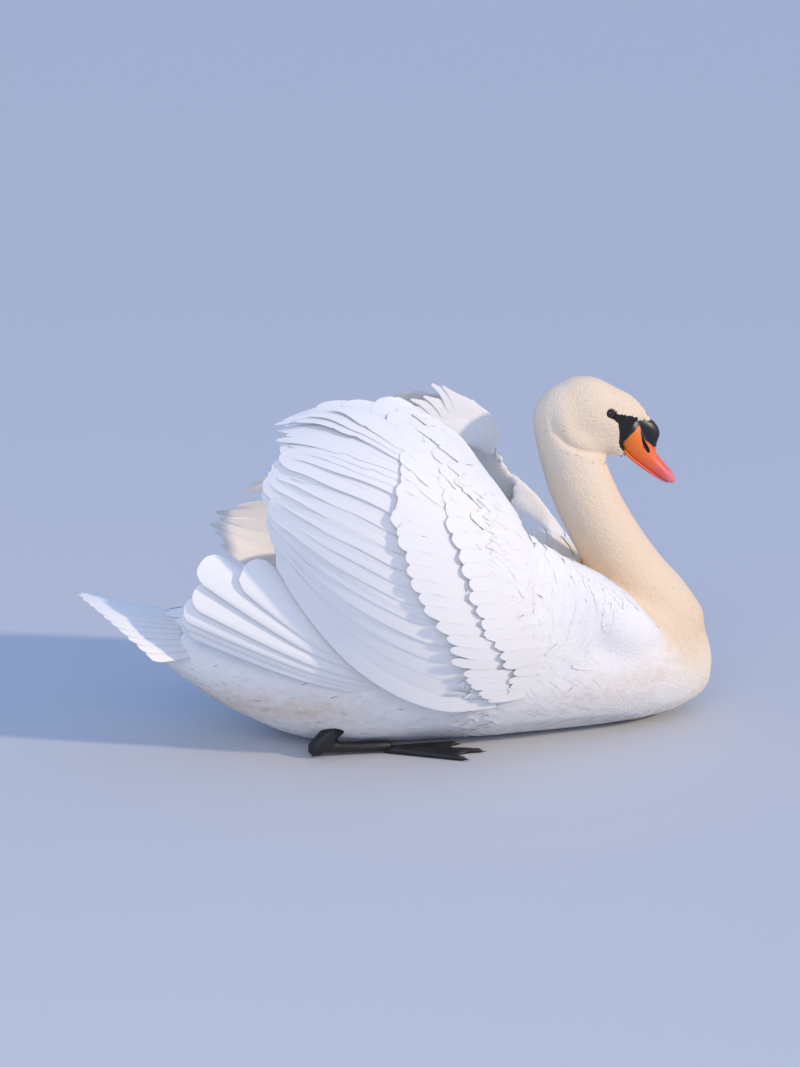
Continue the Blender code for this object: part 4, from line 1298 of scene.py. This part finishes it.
cover(
    "neck_feathers", 700000 / COARSE**2, lambda p: tuft_length(p) * 0.30, feathered, tuft_length, 0.36,
    variants(8, 60, 4, 5, 0.14, 0.5, 0.45, 0.55), VELVET, proud=-0.0002, swerve=0.10, sunk=0.93,
    swell=0.0004, thickness=0.0002, arch=0.0,
)

# %% Long loose wisps that curve over the shoulder
places = scatter(30000, lambda p: np.full(len(p), 0.022), lambda p: velvet(p) < 0.9)
x, y, z = places.T
loose = np.flatnonzero((x > 0.13) & (x < 0.29) & (z > 0.09) & (z < 0.27) & (np.abs(y) > 0.10))
chosen = rng.choice(loose, min(len(loose), 30), replace=False)
length = 0.045 + 0.030 * rng.random(len(chosen))
shapes = variants(4, 80, 12, 5, 0.05, 0.5, 0.4)
lay(
    "shoulder_wisps", places[chosen], length, 0.045, shapes, CONTOUR, proud=0.0014, swerve=0.10,
    bow=0.35, thickness=0.0003, arch=0.2,
)

# %% [markdown]
# ## Bill, eyes and lids
#
# The bill is horn over bone. Its upper half carries a fleshy knob at the root and the nostril halfway
# along it, and ends in a small hard nail. It is lofted through measured sections, because its ridge, sides
# and knob flow into each other. Each eye is a wet ball set in a rim of bare black skin.

# %% Sections through the bill
# distance along the bill, top, bottom, half width, knob's top, knob's half width
UPPER_BILL = np.array((
    (-0.012, 0.0190, -0.0240, 0.0160, 0.0230, 0.0100),
    (0.000, 0.0175, -0.0262, 0.0184, 0.0300, 0.0120),
    (0.016, 0.0140, -0.0272, 0.0182, 0.0338, 0.0124),
    (0.031, 0.0100, -0.0262, 0.0172, 0.0296, 0.0110),
    (0.040, 0.0082, -0.0248, 0.0165, 0.0170, 0.0082),
    (0.052, 0.0066, -0.0224, 0.0160, 0.0060, 0.0050),
    (0.070, 0.0062, -0.0178, 0.0160, 0.0055, 0.0045),
    (0.086, 0.0060, -0.0128, 0.0155, 0.0050, 0.0040),
    (0.097, 0.0042, -0.0085, 0.0118, 0.0030, 0.0035),
    (0.102, 0.0008, -0.0055, 0.0050, 0.0005, 0.0020),
))
LOWER_BILL = np.array((
    (0.004, -0.0235, -0.0270, 0.0110), (0.020, -0.0240, -0.0290, 0.0130),
    (0.045, -0.0200, -0.0257, 0.0128), (0.070, -0.0145, -0.0196, 0.0124),
    (0.088, -0.0098, -0.0140, 0.0104), (0.096, -0.0078, -0.0100, 0.0058),
))
KNOB_FOOT = -0.004
# the nostril: a slot 26 mm long and 5 mm high, on each side, dented in and painted black as painted shade of
# its opening
NOSTRIL = [
    (0.0050, 0.0100), (0.0140, 0.0062), (0.0224, 0.0042), (0.0337, 0.0024), (0.0400, -0.0010),
    (0.0366, -0.0040), (0.0260, -0.0034), (0.0165, 0.0012), (0.0070, 0.0072),
]


def bill_point(distance, lift, out):
    distance, lift, out = distance[..., None], lift[..., None], out[..., None]
    return FACE + distance * bill_forth + lift * bill_up + out * np.array((0, 1, 0))


def oval_reach(heart, lift, width, height, across, above):
    """How far a ray from the heart goes before it leaves an ellipse."""
    offset = heart - lift
    a = (across / width) ** 2 + (above / height) ** 2
    b = above * offset / height**2
    c = (offset / height) ** 2 - 1
    return (np.sqrt(np.maximum(b * b - a * c, 0)) - b) / a


def rounded_rings(sections, rings, count):
    """Rings through the sections, with a knob where they give one, as distance, lift and out."""
    distance, top, bottom, width, *knob = along(sections, np.linspace(0, 1, rings)).T[:, :, None]
    turn = np.linspace(0, 2 * math.pi, count, endpoint=False)[None, :]
    across, above = np.cos(turn), np.sin(turn)
    ovals = [((top + bottom) / 2, width, (top - bottom) / 2)]
    if knob:
        ovals.append(((knob[0] + KNOB_FOOT) / 2, knob[1], (knob[0] - KNOB_FOOT) / 2))
    high = np.maximum.reduce([lift + height for lift, _, height in ovals])
    low = np.minimum.reduce([lift - height for lift, _, height in ovals])
    heart = (high + low) / 2
    reaches = [oval_reach(heart, *oval, across, above) for oval in ovals]
    reach = reaches[0]
    if knob:
        # the knob and the bill flow into each other in a hollow some 3 mm wide
        sharp = 900.0
        reach = np.log(sum(np.exp(sharp * r) for r in reaches)) / sharp - np.log(2) / sharp * 0.6
    return distance * np.ones_like(turn), heart + above * reach, across * reach


distance, lift, out = rounded_rings(UPPER_BILL, 170, 120)
nostril = smooth(0.0002, 0.0018, depth_inside(distance, lift, NOSTRIL)) * smooth(0.012, 0.022, distance)
out = out - np.sign(out) * 0.0036 * nostril * (np.abs(out) > 0.004)
# the nail: a raised shield on the last 16 mm of the tip
nail = smooth(0.083, 0.0865, distance) * np.exp(-((out / 0.0075) ** 4)) * (lift > -0.004)
lift = lift + 0.0009 * nail
# the cutting edge stands a little proud along the side
edge = np.exp(-(((lift - np.interp(distance, UPPER_BILL[:, 0], UPPER_BILL[:, 2] + 0.0042)) / 0.0012) ** 2))
out = out + np.sign(out) * 0.0004 * edge * smooth(0.01, 0.03, distance) * (1 - smooth(0.085, 0.098, distance))
upper_rings = bill_point(distance, lift, out)


# %% Loft the bill, and mark where it is black
def loft(name, rings, material):
    """A closed body over rings of equal count, with a flat cap at each end."""
    work = bmesh.new()
    made = [[work.verts.new(p) for p in ring] for ring in rings]
    for here, after in zip(made, made[1:]):
        for k in range(len(here)):
            nxt = (k + 1) % len(here)
            work.faces.new((here[k], here[nxt], after[nxt], after[k]))
    work.faces.new(made[0])
    work.faces.new(made[-1])
    bmesh.ops.remove_doubles(work, verts=work.verts, dist=1e-6)
    bmesh.ops.recalc_face_normals(work, faces=work.faces)
    mesh = bpy.data.meshes.new(name)
    work.to_mesh(mesh)
    work.free()
    return new_object(name, mesh, material)


upper = loft("bill_upper_horn", upper_rings, HORN)
ahead, high = in_bill(coordinates(upper.data))
# black where the horn itself is black, outside the orange; in the nostril slot the black is painted shade of
# the dark opening
black = np.maximum(-depth_inside(ahead, high, ORANGE), depth_inside(ahead, high, NOSTRIL))
paint(upper, black=np.clip(0.5 + black / 0.003, 0, 1), reach=np.clip(ahead / 0.1, 0, 1))
place_piece(upper, "orange_bill", "bill_upper")

lower = loft("bill_lower_horn", bill_point(*rounded_rings(LOWER_BILL, 50, 48)), HORN)
ahead, _ = in_bill(coordinates(lower.data))
paint(lower, black=1 - smooth(0.008, 0.016, ahead), reach=np.clip(ahead / 0.1, 0, 1))
place_piece(lower, "orange_bill", "bill_lower")
print("the bill has", len(upper.data.polygons) + len(lower.data.polygons), "faces")


# %% Eyes and their rims
def baked(name, material):
    """The object just added, named, with its turn in its mesh."""
    made = bpy.context.object
    bpy.ops.object.transform_apply(location=True, rotation=True, scale=True)
    bpy.ops.object.shade_smooth()
    made.name = made.data.name = name
    made.data.materials.append(material)
    return made


for side, turn in SIDES.items():
    middle = FACE + head_forth * EYE_BACK + head_up * EYE_LIFT + np.array((0, turn * EYE_OUT, 0))
    bpy.ops.mesh.primitive_uv_sphere_add(
        segments=48, ring_count=32, radius=EYE_RADIUS, location=middle, rotation=(math.pi / 2, 0, 0)
    )
    place_piece(baked(f"eye_ball_{side}", EYE), "dark_eye", f"eye_{side}")
    # the rim of bare skin: an almond ring on the eye's own surface, thick enough to cast an edge
    bpy.ops.mesh.primitive_torus_add(
        major_segments=56, minor_segments=14, major_radius=0.0052, minor_radius=0.0008,
        location=(0, 0, 0), rotation=(math.pi / 2, 0, 0),
    )
    rim = baked(f"eyelid_{side}", LEATHER)
    for vertex in rim.data.vertices:
        x, y, z = vertex.co
        # longer towards the bill, flatter above and below
        z *= 0.86 * (1 - 0.25 * smooth(0.0, 0.006, abs(x)))
        x *= 1.12
        bulge = math.sqrt(EYE_RADIUS**2 - min(x * x + z * z, EYE_RADIUS**2 * 0.97))
        vertex.co = middle + head_forth * x + head_up * z + np.array((0, turn * (bulge - 0.0006) + y, 0))
    face_out(rim)
    place_piece(rim, "black_leg_skin")
print("eyes at", np.round(middle, 4).tolist())

# %% [markdown]
# ## Legs and feet
#
# The bird rests on its belly with its feet tucked under, webs flat on the floor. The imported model's own
# legs and feet have the right shape, so they keep it: each gets a smoother copy with scaled black skin.

# %% Legs and webs
for side in SIDES:
    for part in ("leg", "foot"):
        made = own_copy(nodes[f"{part}_{side}"])
        made.name = made.data.name = f"{part}_skin_{side}"
        face_out(made, weld=0.00002)
        made.data.materials.clear()
        made.data.materials.append(LEATHER)
        bpy.ops.object.shade_smooth_by_angle(angle=math.radians(50))
        place_piece(made, "black_leg_skin", f"{part}_{side}")

# %% [markdown]
# ## Floor, light and camera
#
# A pale floor and one broad lamp high on the right, as low winter sun, with a weak cool sky. The camera
# stands four metres off, a little above the bird, and looks slightly down.

# %% Floor
bpy.ops.mesh.primitive_plane_add(size=30, location=(0, 8, -0.0005))
floor = bpy.context.object
floor.name = "floor"
floor.data.materials.append(new_material("pale studio floor", "#c4c6c9", Roughness=0.9))


# %% Light
def aimed(name, data, place, way):
    """An object for a lamp or camera, at a place and looking a way."""
    obj = bpy.data.objects.new(name, data)
    bpy.context.scene.collection.objects.link(obj)
    obj.location = place
    obj.rotation_euler = way.to_track_quat("-Z", "Y").to_euler()
    return obj


def lamp(name, kind, place, aim, energy, colour, **size):
    data = bpy.data.lights.new(name, kind)
    for key, value in {"energy": energy, "color": linear(colour)[:3], **size}.items():
        setattr(data, key, value)
    aimed(name, data, place, Vector(aim) - Vector(place))


lamp("sun", "SUN", (4.0, -2.7, 2.6), (0, 0, 0.2), 2.05, "#ffe6c4", angle=math.radians(3.0))
lamp("soft_box", "AREA", (-1.5, -4.0, 2.6), (0, 0, 0.3), 64.0, "#fff0dc", size=3.0)
world = bpy.data.worlds.new("sky")
bpy.context.scene.world = world
world.use_nodes = True
sky = world.node_tree.nodes["Background"].inputs
sky["Color"].default_value, sky["Strength"].default_value = linear("#a4c4fb"), 0.92
bpy.context.scene.view_settings.view_transform = "Standard"

# %% Camera
AIM, AZIMUTH, ELEVATION, DISTANCE = Vector((0, 0, 0.29)), math.radians(-12.0), math.radians(15.0), 4.2
level = math.cos(ELEVATION)
heading = Vector((math.sin(AZIMUTH) * level, -math.cos(AZIMUTH) * level, math.sin(ELEVATION)))
camera_data = bpy.data.cameras.new("camera")
camera_data.lens, camera_data.sensor_width = 99.79, 36.0
camera = aimed("camera", camera_data, AIM + heading * DISTANCE, -heading)
bpy.context.scene.camera = camera
print("camera at", [round(v, 4) for v in camera.location])
